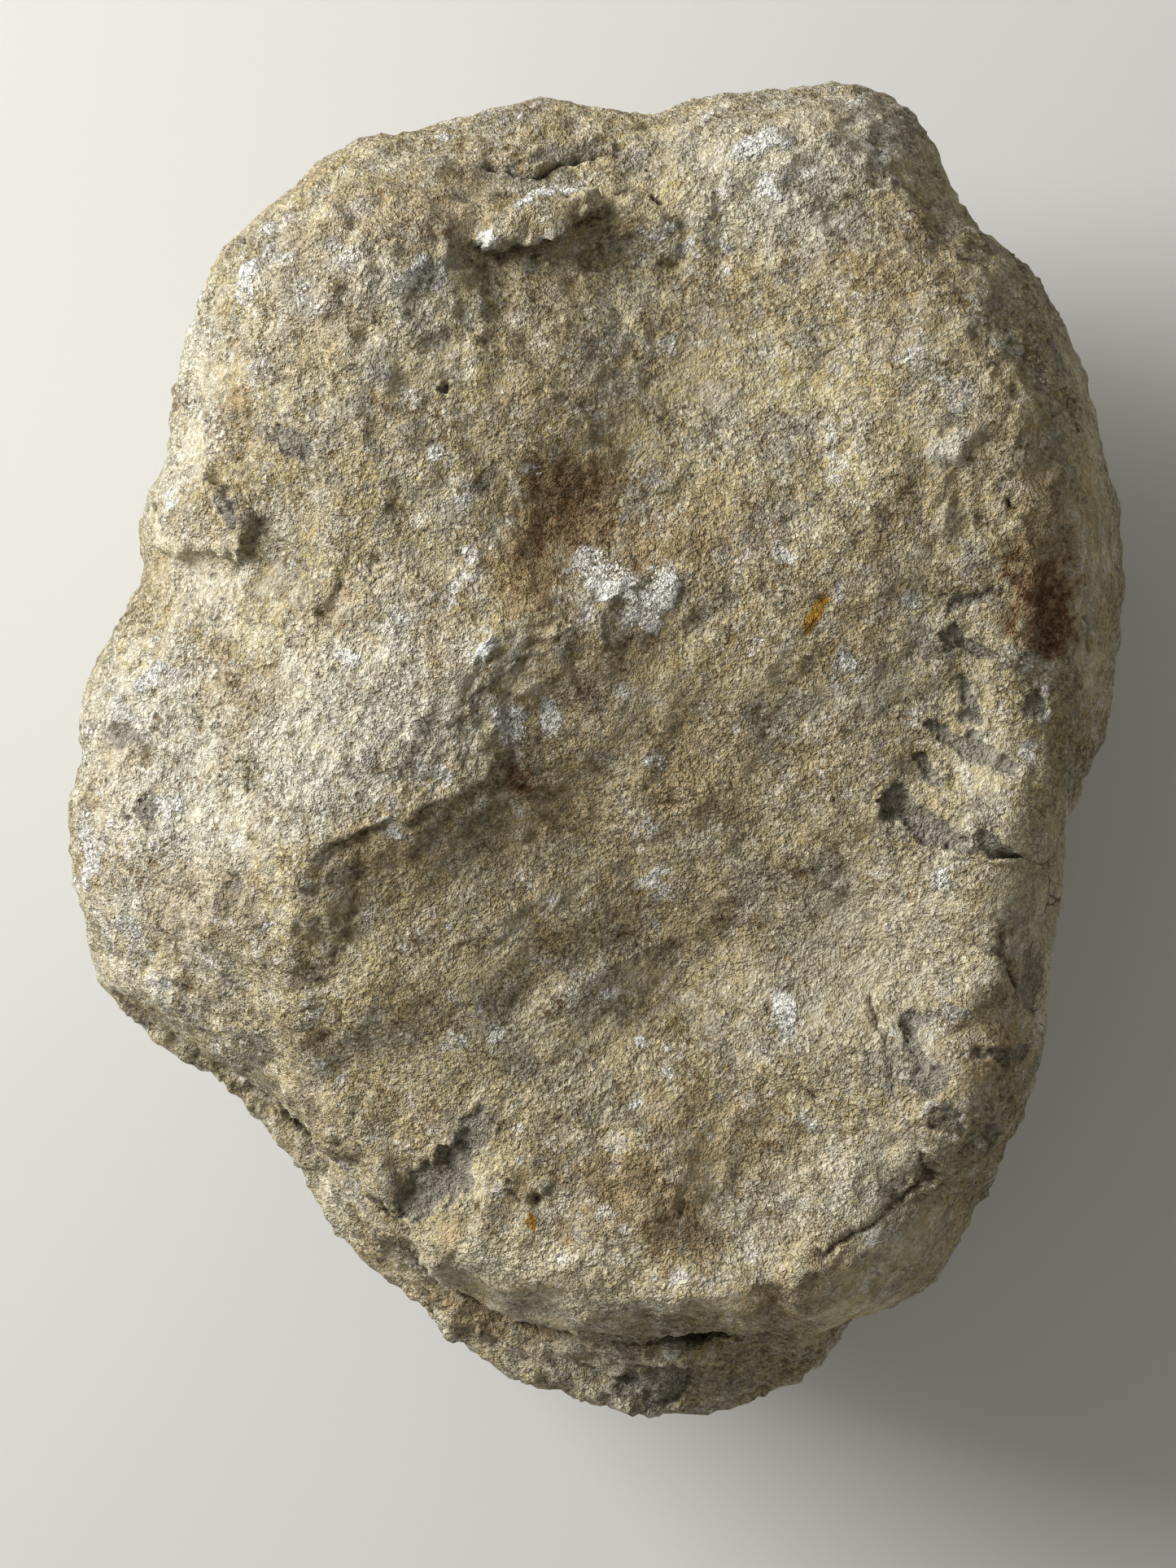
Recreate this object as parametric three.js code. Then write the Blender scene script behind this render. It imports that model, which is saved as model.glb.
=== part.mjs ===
// A closed quartz geode: a flattened nodule in a chalky rind, lying on its back with its broad face up.
// Millimetres, +Z up. The stone rests on a small worn flat at Z = 0, and the origin is on the plane of
// that flat, under the middle of the stone's outline. X is the stone's width and Y is its length.
import * as THREE from "three";
import { mergeVertices } from "three/addons/utils/BufferGeometryUtils.js";
import { ImprovedNoise } from "three/addons/math/ImprovedNoise.js";

// ---- Driving dimensions ----
const RIM_HEIGHT = 37; // from the resting plane to the widest outline, before the flat is worn
const FACE_RISE = 37; // from the rim to the crown of the broad face
const BACK_DEPTH = 37; // from the rim to the underside, before the flat is worn
const FLAT_WEAR = 2; // how much of the underside is worn away to make the resting flat
const MESH_STEPS = 19; // cuts along each edge of the starting icosahedron
const FACE_SHARE = 1.7; // how much finer the face is meshed than the back

// The widest outline, seen from above, anticlockwise from the right of the top lobe.
const OUTLINE = [
  [38, 78], [32, 82], [26, 82], [20, 81], [14, 78], [6, 77], [-2, 79], [-9, 80], [-22, 76], [-30, 75],
  [-34, 72], [-40, 67], [-47, 61], [-49, 53], [-52, 45], [-52, 38], [-57, 28], [-56, 22], [-64, 8],
  [-63, -1], [-65, -10], [-64, -22], [-61, -31], [-54, -37], [-47, -41], [-36, -53], [-31, -62],
  [-26, -66], [-8, -77], [1, -80], [10, -82], [20, -80], [28, -75], [29, -71], [40, -66], [44, -58],
  [52, -41], [53, -26], [53, -19], [52, -14], [54, -9], [60, 0], [63, 14], [63, 22], [62, 33],
  [57, 51], [54, 57], [44, 64], [41, 69], [40, 74],
];

// How the stone's section changes round the outline. fullness is the exponent of the section's arc: 2 is
// round, and more is flatter with a squarer shoulder. lift raises the rim.
const FLANKS = [
  { bearing: 0, fullness: 3, lift: 1 },
  { bearing: 45, fullness: 3.1, lift: 3 },
  { bearing: 90, fullness: 2.6, lift: 3 },
  { bearing: 135, fullness: 2.4, lift: 2 },
  { bearing: 180, fullness: 2.1, lift: 0 },
  { bearing: 225, fullness: 2.5, lift: -4 },
  { bearing: 270, fullness: 4.2, lift: -5 },
  { bearing: 315, fullness: 3.8, lift: -2 },
];
const BACK_FULLNESS = 2.3;
const EVEN_SPREAD = 24; // degrees to each side over which the outline is averaged
const EVEN_STEPS = 4;
const FLUTE_WANDER = 0.3; // radians

// ---- Relief of the broad face ----
// A swell is a round-topped lump, or a hollow where its height is negative. size holds its half-widths.
const SWELLS = [
  { name: "broad hollow", at: [10, -26], size: [28, 19], turn: 18, height: -8.5 },
  { name: "foot hollow", at: [18, -48], size: [9, 9], turn: 20, height: -2.5 },
  { name: "upper hollow", at: [10, 52], size: [17, 14], turn: 0, height: -4.6 },
  { name: "stained pit", at: [-4.3, 27], size: [5, 7], turn: -35, height: -1.4 },
  { name: "dip below the crest", at: [-5, 1], size: [8, 6], turn: 30, height: -1.5 },
  { name: "chipped scar", at: [-16.4, -49], size: [7, 2.5], turn: 50, height: -1.8 },
  { name: "lower left facet", at: [-47, -33], size: [16, 12], turn: -35, height: -4 },
  { name: "right recess", at: [52.5, 17.7], size: [3.5, 7], turn: 0, height: -2 },
  { name: "right upper shoulder", at: [41, 37], size: [17, 22], turn: 0, height: 3.6 },
  { name: "left shoulder", at: [-31, 57], size: [12, 12], turn: 0, height: 4.2 },
  { name: "plate at the hollow's foot", at: [28, -36], size: [14, 8], turn: 0, height: 3.4 },
  { name: "top lobe", at: [30, 69], size: [12, 10], turn: 0, height: 4 },
  { name: "crystal knob", at: [2.7, 19], size: [6, 4.5], turn: 0, height: 1.5 },
  { name: "lower bed's knob", at: [8, -74], size: [9, 6], turn: 0, height: 3 },
  { name: "lower bed's dip", at: [-9, -71], size: [8, 5], turn: -25, height: -2.5 },
  { name: "lower bed's left knob", at: [-27, -58], size: [7, 4], turn: -50, height: 2 },
  { name: "top flake", at: [-5.5, 61.5], size: [8, 3.6], turn: 12, height: 2.8 },
  { name: "left crust", at: [-46, 27], size: [6, 7], turn: 0, height: 1.6 },
];

// Knobs that stand up from the crust of the upper left.
const KNOB = { radius: 2.9, height: 1.5 };
const KNOBS = [
  [-38, 54], [-33, 51.5], [-27.5, 55.5], [-22.5, 52], [-36, 47], [-30, 44.5], [-24, 47], [-18.5, 46.5],
  [-41, 41], [-34.5, 61], [-22, 60], [-16, 52], [-28, 66], [-19, 67],
];

// A crest runs along a path, and is a groove where its height is negative.
const CRESTS = [
  {
    name: "left crest",
    path: [[-5, 13.5], [-14, 5.5], [-21, -3], [-24, -9], [-33, -13.5]],
    width: 10,
    height: 4,
  },
  {
    name: "upper crest",
    path: [[-29, 52], [-29, 42], [-24, 28], [-15, 17]],
    width: 12,
    height: 2.6,
  },
  {
    name: "middle groove",
    path: [[12, 55], [10.5, 44], [8, 35], [0, 27]],
    width: 9,
    height: -2,
  },
  {
    name: "right edge",
    path: [
      [42, 54], [46.5, 42], [47.5, 34], [49, 13.5], [53, 6.5], [51.5, -0.5], [48.5, -10],
      [45.5, -19.6], [46, -28], [44, -35.4], [40.5, -43], [36.5, -50], [29, -58.5], [15.3, -63],
    ],
    width: 7.5,
    height: 4.8,
  },
];

// A step runs along a path, and lowers the ground on its right. soft is half the width of its slope, the
// lowered ground comes back up over reach, and ragged is how far its edge strays from the path.
const STEPS = [
  {
    name: "ledge round the hollow",
    path: [
      [-22, -51.3], [-28.6, -42.9], [-31.8, -35.4], [-32.5, -25.3], [-31, -19.4], [-29.5, -15.4],
      [-26, -13.5], [-21, -12], [-15.4, -10.2], [-9.5, -8], [-3.5, -4.5],
    ],
    soft: 2.4,
    reach: 22,
    drop: 4.2,
  },
  {
    name: "plate at the hollow's right",
    path: [[15.3, -23.8], [12.3, -25.2], [11.4, -30.8]],
    soft: 1.4,
    reach: 8,
    drop: 1.5,
  },
  {
    name: "slanting crease",
    path: [[5.9, -22.4], [2.2, -24.2], [-3.4, -27.5], [-9, -31.3]],
    soft: 1.4,
    reach: 6,
    drop: 1.4,
  },
  {
    name: "step under the crystal knob",
    path: [[6, 13.5], [10.2, 13.8], [11, 15.8], [13, 16]],
    soft: 1.4,
    reach: 5,
    drop: 1,
  },
  {
    name: "under the top flake",
    path: [[-13, 57.4], [-8, 57.2], [-3.4, 57.8], [1, 60]],
    soft: 1.4,
    reach: 5,
    drop: 2.6,
  },
  {
    name: "edge of the left crust",
    path: [[-53, 21.5], [-48, 21.3], [-42.5, 22.5], [-40.8, 28], [-45.5, 35]],
    soft: 1.2,
    reach: 6,
    drop: 1.6,
  },
  {
    name: "crack across the top",
    path: [[-13, 69.4], [-7.3, 67.8], [-1.5, 68.9], [3.2, 68.4]],
    soft: 1.4,
    reach: 5,
    drop: 1.6,
  },
  {
    name: "broken edge of the upper bed",
    path: [
      [-60, -31], [-44, -38.8], [-32.5, -47], [-27, -51], [-22.5, -54.5], [-19.5, -59], [-16, -63],
      [-10, -66], [-1.5, -68], [6.5, -68.5], [14.5, -67.5], [20.5, -66], [27, -67], [36, -74],
    ],
    soft: 1.6,
    reach: 30,
    drop: 11,
    ragged: 2.2,
  },
];

// ---- Lumps over the whole stone ----
const LUMPS = [
  { size: 36, onFace: 1.4, onBack: 4.2 },
  { size: 17, onFace: 0.8, onBack: 2.4 },
  { size: 8.5, onFace: 0.7, onBack: 1.1 },
];

// Beds that show as ribs round the stone's lower end, which lies at that bearing.
const BEDDING = { bearing: 262, spread: 38, thickness: 6.5, length: 34, height: 2.2 };

const noise = new ImprovedNoise();
const { clamp, degToRad, euclideanModulo, lerp, smoothstep } = THREE.MathUtils;

// The outline's radius at any bearing from the middle: exact is read off a smooth closed curve, and even
// is its average over the bearings near by, which keeps none of its bays and knuckles.
function makeOutline() {
  const corners = OUTLINE.map(([x, y]) => new THREE.Vector3(x, y, 0));
  const curve = new THREE.CatmullRomCurve3(corners, true, "centripetal");
  const polar = curve
    .getPoints(20 * OUTLINE.length)
    .map((p) => ({ bearing: euclideanModulo(Math.atan2(p.y, p.x), 2 * Math.PI), radius: p.length() }))
    .sort((a, b) => a.bearing - b.bearing);
  const exact = (bearing) => {
    const wanted = euclideanModulo(bearing, 2 * Math.PI);
    const next = polar.findIndex((p) => p.bearing >= wanted);
    const b = polar[next < 0 ? 0 : next];
    const a = polar[next <= 0 ? polar.length - 1 : next - 1];
    const span = euclideanModulo(b.bearing - a.bearing, 2 * Math.PI);
    const share = span > 0 ? euclideanModulo(wanted - a.bearing, 2 * Math.PI) / span : 0;
    return lerp(a.radius, b.radius, share);
  };
  const even = (bearing) => {
    let sum = 0;
    for (let i = -EVEN_STEPS; i <= EVEN_STEPS; i++) {
      sum += exact(bearing + (degToRad(EVEN_SPREAD) * i) / EVEN_STEPS);
    }
    return sum / (2 * EVEN_STEPS + 1);
  };
  return { exact, even };
}

// A value of the flanks at any bearing, blended smoothly between its neighbours.
function flankAt(bearing, key) {
  const step = 360 / FLANKS.length;
  const place = euclideanModulo(THREE.MathUtils.radToDeg(bearing), 360) / step;
  const first = Math.floor(place) % FLANKS.length;
  const blend = smoothstep(place - Math.floor(place), 0, 1);
  return lerp(FLANKS[first][key], FLANKS[(first + 1) % FLANKS.length][key], blend);
}

// The stone's section from the crown to the underside, cut into rings of equal area: out runs from 0 on
// the middle to 1 on the rim and back, and rise from 1 on the crown to -1 underneath.
function makeSection() {
  const SAMPLES = 600;
  const MEAN_RADIUS = 72;
  const arc = (angle, exponent) => Math.pow(Math.abs(angle), 2 / exponent);
  const points = [];
  for (let i = 0; i <= SAMPLES; i++) {
    const angle = (Math.PI * i) / SAMPLES;
    const onFace = angle < Math.PI / 2;
    const exponent = onFace ? 2.7 : BACK_FULLNESS;
    points.push({
      out: arc(Math.sin(angle), exponent),
      rise: Math.sign(Math.cos(angle)) * arc(Math.cos(angle), exponent),
      area: 0,
    });
  }
  for (let i = 1; i <= SAMPLES; i++) {
    const a = points[i - 1];
    const b = points[i];
    const depth = a.rise > 0 ? FACE_RISE : BACK_DEPTH;
    const length = Math.hypot((b.out - a.out) * MEAN_RADIUS, (b.rise - a.rise) * depth);
    const fineness = b.rise > -0.15 ? FACE_SHARE : 1;
    b.area = a.area + ((a.out + b.out) / 2) * length * fineness;
  }
  const total = points[SAMPLES].area;
  return (share) => {
    const wanted = clamp(share, 0, 1) * total;
    const next = Math.max(1, points.findIndex((p) => p.area >= wanted));
    const a = points[next - 1];
    const b = points[next];
    const blend = b.area > a.area ? (wanted - a.area) / (b.area - a.area) : 0;
    return { out: lerp(a.out, b.out, blend), rise: lerp(a.rise, b.rise, blend) };
  };
}

// How far [x, y] lies from a path, on its right if positive, and how far past the path's ends.
function fromPath(x, y, path) {
  let nearest = { distance: Infinity, side: 1, past: 0 };
  for (let i = 1; i < path.length; i++) {
    const [ax, ay] = path[i - 1];
    const [bx, by] = path[i];
    const length = Math.hypot(bx - ax, by - ay);
    const along = ((x - ax) * (bx - ax) + (y - ay) * (by - ay)) / length;
    const across = ((x - ax) * (by - ay) - (y - ay) * (bx - ax)) / length;
    const held = clamp(along, 0, length);
    const distance = Math.hypot(across, along - held);
    if (distance < nearest.distance) {
      const atEnd = (i === 1 && along < 0) || (i === path.length - 1 && along > length);
      nearest = { distance, side: Math.sign(across) || 1, past: atEnd ? Math.abs(along - held) : 0 };
    }
  }
  return nearest;
}

const bell = (distance, width) => Math.exp(-((distance / width) ** 2));

function swellAt(x, y, { at, size, turn, height }) {
  const angle = degToRad(turn);
  const dx = x - at[0];
  const dy = y - at[1];
  const u = (dx * Math.cos(angle) + dy * Math.sin(angle)) / size[0];
  const v = (dy * Math.cos(angle) - dx * Math.sin(angle)) / size[1];
  return height * bell(Math.hypot(u, v), 1);
}

function crestAt(x, y, { path, width, height }) {
  return height * bell(fromPath(x, y, path).distance, width);
}

function stepAt(x, y, { path, soft, reach, drop, ragged = 0.6 }) {
  const { distance, side, past } = fromPath(x, y, path);
  const tear = ragged * (noise.noise(x / 7, y / 7, 1.5) + noise.noise(x / 3.5, y / 3.5, 4.5));
  const lowered = (1 + Math.tanh((side * distance + tear) / soft)) / 2;
  return -drop * lowered * bell(distance, reach) * bell(past, 2 * soft);
}

function faceRelief(x, y) {
  let height = 0;
  for (const swell of SWELLS) height += swellAt(x, y, swell);
  for (const crest of CRESTS) height += crestAt(x, y, crest);
  for (const step of STEPS) height += stepAt(x, y, step);
  for (const [atX, atY] of KNOBS) height += KNOB.height * bell(Math.hypot(x - atX, y - atY), KNOB.radius);
  return height;
}

function lumpsAt(point, backShare) {
  let height = 0;
  for (const { size, onFace, onBack } of LUMPS) {
    const swing = noise.noise(point.x / size + 7.3, point.y / size + 2.9, point.z / size + 5.1);
    height += swing * lerp(onFace, onBack, backShare);
  }
  return height;
}

function bedsAt(point) {
  const { bearing, spread, thickness, length, height } = BEDDING;
  const across = Math.atan2(point.y, point.x) - degToRad(bearing);
  const turned = THREE.MathUtils.radToDeg(euclideanModulo(across + Math.PI, 2 * Math.PI) - Math.PI);
  const swing = noise.noise(point.x / length, point.y / length, point.z / thickness);
  return height * swing * bell(turned, spread);
}

function makeStone() {
  const outline = makeOutline();
  const sectionAt = makeSection();
  const ball = new THREE.IcosahedronGeometry(1, MESH_STEPS);
  ball.deleteAttribute("normal");
  ball.deleteAttribute("uv");
  const geometry = mergeVertices(ball, 1e-5);
  const position = geometry.getAttribute("position");
  const point = new THREE.Vector3();
  const normal = new THREE.Vector3();
  const rises = [];

  for (let i = 0; i < position.count; i++) {
    point.fromBufferAttribute(position, i).normalize();
    const bearing = Math.atan2(point.y, point.x);
    const { out, rise } = sectionAt((1 - point.z) / 2);
    // Off the rim the bays and knuckles of the outline wander sideways and fade.
    const evened = Math.pow(Math.abs(rise), 1.2);
    const wander = evened * FLUTE_WANDER * noise.noise(3 * point.x, 3 * point.y, 4 * rise);
    const exact = outline.exact(bearing + wander);
    const even = outline.even(bearing);
    const radius = out * lerp(exact, rise > 0 ? Math.min(exact, even) : even, evened);
    const fullness = flankAt(bearing, "fullness");
    const faceRise = FACE_RISE * Math.pow(Math.max(0, 1 - Math.pow(out, fullness)), 1 / fullness);
    const rim = RIM_HEIGHT + flankAt(bearing, "lift") * out * out;
    const z = rim + (rise > 0 ? faceRise : rise * BACK_DEPTH);
    position.setXYZ(i, radius * Math.cos(bearing), radius * Math.sin(bearing), z);
    rises.push(rise);
  }

  geometry.computeVertexNormals();
  const normals = geometry.getAttribute("normal");
  for (let i = 0; i < position.count; i++) {
    point.fromBufferAttribute(position, i);
    normal.fromBufferAttribute(normals, i);
    point.z += smoothstep(rises[i], 0.05, 0.5) * faceRelief(point.x, point.y);
    // The lumps are lower on the rim, which has its own, and underneath, where the stone lies on them.
    const offRim = smoothstep(Math.abs(rises[i]), 0, 0.4);
    const underneath = smoothstep(-rises[i], 0.8, 1);
    const lumps = lumpsAt(point, smoothstep(-rises[i], 0, 0.5));
    const beds = bedsAt(point) * (1 - normal.z * normal.z);
    point.addScaledVector(normal, lumps * lerp(0.3, 1, offRim) * lerp(1, 0.3, underneath) + beds);
    position.setXYZ(i, point.x, point.y, point.z);
  }

  wearFlat(geometry);
  return geometry;
}

// Wears the underside to a flat, and puts the origin on it under the middle of the outline.
function wearFlat(geometry) {
  geometry.computeBoundingBox();
  const { min, max } = geometry.boundingBox;
  const floor = min.z + FLAT_WEAR;
  const position = geometry.getAttribute("position");
  for (let i = 0; i < position.count; i++) {
    position.setZ(i, Math.max(position.getZ(i), floor));
  }
  geometry.translate(-(min.x + max.x) / 2, -(min.y + max.y) / 2, -floor);
}

const chalkyRind = new THREE.MeshStandardMaterial({ color: 0xc9bd9e, roughness: 0.95, metalness: 0 });

const stone = new THREE.Mesh(makeStone(), chalkyRind);
stone.name = "geode";

const geode = new THREE.Group();
geode.add(stone);
export default geode;
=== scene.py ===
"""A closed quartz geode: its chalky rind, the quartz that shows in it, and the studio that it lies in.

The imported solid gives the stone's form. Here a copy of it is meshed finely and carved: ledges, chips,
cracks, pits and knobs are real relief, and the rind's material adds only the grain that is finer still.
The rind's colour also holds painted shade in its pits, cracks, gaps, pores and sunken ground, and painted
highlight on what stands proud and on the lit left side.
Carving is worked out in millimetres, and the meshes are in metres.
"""

import math

import bmesh
import bpy
import numpy as np
from bpy.props import FloatProperty, FloatVectorProperty, IntProperty, PointerProperty
from mathutils import Euler, Matrix, Vector
from mathutils.bvhtree import BVHTree


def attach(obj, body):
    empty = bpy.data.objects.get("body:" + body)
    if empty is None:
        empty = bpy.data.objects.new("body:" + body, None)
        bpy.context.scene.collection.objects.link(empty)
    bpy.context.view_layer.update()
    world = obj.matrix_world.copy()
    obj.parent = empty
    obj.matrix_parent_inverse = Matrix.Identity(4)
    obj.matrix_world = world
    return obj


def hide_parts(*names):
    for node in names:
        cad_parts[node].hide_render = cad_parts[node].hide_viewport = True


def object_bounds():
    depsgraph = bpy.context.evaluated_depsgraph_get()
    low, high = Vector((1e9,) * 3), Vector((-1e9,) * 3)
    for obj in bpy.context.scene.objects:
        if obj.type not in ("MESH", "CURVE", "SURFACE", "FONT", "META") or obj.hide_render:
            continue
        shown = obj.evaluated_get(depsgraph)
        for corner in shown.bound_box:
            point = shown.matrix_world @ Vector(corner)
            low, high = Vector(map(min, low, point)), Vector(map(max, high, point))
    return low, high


bl_info = {
    "name": "Quartz geode",
    "version": (1, 0, 0),
    "blender": (4, 5, 0),
    "location": "3D View > Sidebar > Geode",
    "description": "Builds a closed quartz geode in its chalky rind, and the studio round it",
    "category": "Object",
}

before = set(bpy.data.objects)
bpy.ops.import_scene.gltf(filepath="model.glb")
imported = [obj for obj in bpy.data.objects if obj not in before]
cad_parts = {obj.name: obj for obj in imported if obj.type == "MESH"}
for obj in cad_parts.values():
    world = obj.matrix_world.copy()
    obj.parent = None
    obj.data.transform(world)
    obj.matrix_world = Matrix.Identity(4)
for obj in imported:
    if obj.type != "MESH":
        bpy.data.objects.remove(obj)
CAD_LOW, CAD_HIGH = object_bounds()
MM = 0.001

# Directions and slopes. A slope is the upward part of a face's normal.
STREAK_SLANT = 48  # degrees from the stone's width to the hollow's streaks
FLANK_SLOPE = -0.35  # faces steeper underneath than this keep the coarse mesh
FACE_SLOPE = 0.36  # faces flatter than this get the finer mesh

GRAIN_SEED = 7
CRYSTAL_SEED = 11

# How the carving is settled, in millimetres and in rounds of averaging.
EVENING_ROUNDS = 3  # takes the solid's facets out before the carving
PROUD_ROUNDS = 14  # what the relief is averaged over to tell what stands proud
SETTLING = 0.15  # lowers the carved ground, to make up for the grains that stand on it
CRYSTAL_ROOM = 0.4  # left between the stone's top and the solid's, for the crystals that stand there
KNOB_SHARES = (1, 0.55)  # the round knobs come in two sizes

# The studio, in metres.
WINDOW_PLACE = (-0.68, 0.34, 0.385)
WINDOW_SIZE = 0.5
WINDOW_TINT = (1, 0.99, 0.965)
FILL_TINT = (1, 0.955, 0.85, 1)
LIGHT_AIM = (0, 0, 0.04)
CAMERA_PLACE = (-0.00051, -0.0043)  # in plan
FLOOR_DROP = 0.00005  # keeps the floor clear of the stone's flat


def area(x, y, half_length, half_width, turn=0, **more):
    """An ellipse in plan: its middle, half sizes and turn in degrees, and what else is known of it."""
    return {"at": (x, y), "size": (half_length, half_width), "turn": turn, **more}


# ---- The stone's features, in millimetres in plan, seen from above with the long axis up ----

# A ledge's ground is lower on the right of its path. drop is its height, edge is half the width of its
# slope, reach is how far the lowered ground takes to come back up, and lip is how much its upper edge
# stands proud.
LEDGES = [
    {
        "name": "step under the crystal knob",
        "path": [(5, 11.8), (7, 13), (11, 13.5), (11.6, 15.3), (14, 15.6), (17, 17.5)],
        "drop": 0.35,
        "edge": 0.8,
        "reach": 3,
        "lip": 0.2,
    },
    {
        "name": "flake's underside",
        "path": [(-12.8, 57.8), (-10, 57.5), (-7.5, 57.8), (-5, 58.3), (-2.5, 59), (-0.5, 60.4), (1, 62.3)],
        "drop": 1.6,
        "edge": 0.45,
        "reach": 2.4,
        "lip": 0.4,
    },
    {
        "name": "crust tab's edge",
        "path": [
            (-54, 23.5), (-50.5, 22.5), (-47, 22), (-43.5, 20.8), (-40.8, 21.6), (-40.2, 24), (-39.4, 26.5),
            (-40.2, 28.2), (-42, 27.2), (-43.5, 29.5), (-44.8, 33),
        ],
        "drop": 0.8,
        "edge": 0.6,
        "reach": 2.5,
        "lip": 0.6,
    },
    {
        "name": "crack ledge across the top",
        "path": [(-15, 69.6), (-11.5, 68.6), (-8.5, 68), (-6, 68.4), (-2.5, 69.4), (1, 69.8), (4, 69)],
        "drop": 0.3,
        "edge": 0.8,
        "reach": 4,
        "lip": 0.1,
    },
    {
        "name": "scar on the left",
        "path": [(-35.6, 18.4), (-34.6, 15.8), (-32.8, 14.8), (-31, 15.4), (-30.2, 17.6)],
        "drop": 0.6,
        "edge": 0.5,
        "reach": 2,
        "lip": 0.2,
    },
    {
        "name": "ledge of the lower right flank",
        "path": [(21, -62.5), (25.5, -60.8), (30, -59.4), (33.5, -57.8), (37.5, -54.5), (39.5, -51)],
        "drop": 0.9,
        "edge": 0.8,
        "reach": 5,
        "lip": 0.2,
    },
    {
        "name": "right flank's plate",
        "path": [(42.5, -31), (45, -27.5), (46.8, -23), (46, -18.5), (48.5, -14)],
        "drop": 0.7,
        "edge": 0.8,
        "reach": 4,
        "lip": 0.2,
    },
    {
        "name": "groove's ledge",
        "path": [(12, 60), (11.6, 57), (9.5, 54.5), (8.2, 52)],
        "drop": 0.6,
        "edge": 0.8,
        "reach": 3,
        "lip": 0.3,
    },
]

# Sharp breaks of the slope. The ground falls away on the right of the path by drop within reach and then
# comes back up; the crest itself stands up by lip.
CREASES = [
    {
        "name": "crest round the hollow",
        "path": [
            (-19, -58), (-22, -53.5), (-26.5, -46), (-31, -38.5), (-34.2, -31), (-35.3, -25), (-34, -18.5),
            (-32.6, -13), (-30, -11), (-26, -9.6), (-20.5, -9.4), (-15, -7), (-10, -3),
        ],
        "drop": 0.7,
        "reach": 3,
        "lip": 0.4,
    },
    {
        "name": "slanting crease",
        "path": [(9, -21.5), (6, -23), (1.5, -25.2), (-2, -27.6), (-5, -30.4), (-9, -32.5)],
        "drop": 0.55,
        "reach": 2.4,
        "lip": 0.15,
    },
    {
        "name": "plate at the hollow's right",
        "path": [(20, -23), (16.5, -24), (14.2, -25.8), (13.4, -29), (13.8, -33)],
        "drop": 0.6,
        "reach": 2.6,
        "lip": 0.15,
    },
    {
        "name": "right crest",
        "path": [
            (50, 2), (48.6, -6), (46.8, -12), (44.6, -20), (44, -26), (43, -33), (41.5, -40), (39.2, -46),
            (34, -52), (27, -57.5), (18, -61),
        ],
        "drop": -0.35,
        "reach": 3,
        "lip": 0.3,
    },
    {
        "name": "foot of the middle rise",
        "path": [(-12, -20), (-4, -15), (4, -12.5), (13, -12), (22, -13.5)],
        "drop": 0.4,
        "reach": 4,
        "lip": 0.1,
    },
]

# Broad, low swells and dips of the ground.
SWELLS = [
    area(-13, 4, 24, 9, 42, height=-3.8, name="long saddle below the knob"),
    area(1, 18, 7, 6, height=-2.2, name="dip under the knob"),
    area(-17, 20, 11, 12, height=-3.2, name="dip left of the knob"),
    area(-26, -10, 16, 6, 24, height=-1.8, name="outer slope of the crest"),
    area(-1, -21, 29, 9, 12, height=3.1, name="floor of the hollow"),
    area(-27, -29, 8, 8, height=4.4, name="hollow's left end"),
    area(13, -12, 8, 5, 10, height=-1.8, name="dip above the hollow's floor"),
    area(47, -12, 8, 13, height=5.4, name="right shoulder"),
    area(38, -14, 5, 6, height=1.7, name="right shoulder's foot"),
    area(54, 13, 3.5, 14, height=1.6, name="right rim"),
    area(15, 68, 6, 10, height=2.5, name="left half of the top lobe"),
    area(30, 62, 6, 8, height=-1.3, name="right half of the top lobe"),
    area(-21, 61, 7, 6, height=1.6, name="rise left of the flake"),
    area(-7, 66, 7, 8, height=-1.2, name="dip behind the flake"),
    area(6, 46, 12, 9, height=1.1, name="rise below the groove"),
    area(-10, 42, 8, 6, height=0.7, name="rise in the upper middle"),
    area(-34, 53, 8, 6, height=1.0, name="top left shoulder"),
    area(26, 38, 8, 9, height=-2.0, name="dip in the upper right"),
    area(44, 34, 6, 16, height=-2.4, name="upper right slope"),
    area(-42, 18, 12, 20, height=-2.6, name="left slope"),
    area(-50, -2, 9, 15, height=-1.0, name="left rim"),
    area(1, 59, 4, 5, height=-0.9, name="dip right of the flake"),
    area(-13, 71, 6, 5, height=-0.8, name="top of the left shoulder"),
    area(-6, -53, 10, 8, height=-2.8, name="dip at the foot"),
    area(16, -58, 8, 6, height=-4.0, name="dip at the right of the foot"),
    area(25, -66, 6, 6, height=3.2, name="lip of the foot"),
    area(-14, -46, 6, 6, height=1.1, name="rise by the scar"),
    area(44, -38, 8, 10, height=2.8, name="lower right shoulder"),
    area(13, 1, 21, 8, height=-1.5, name="dip in the right middle"),
]

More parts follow.
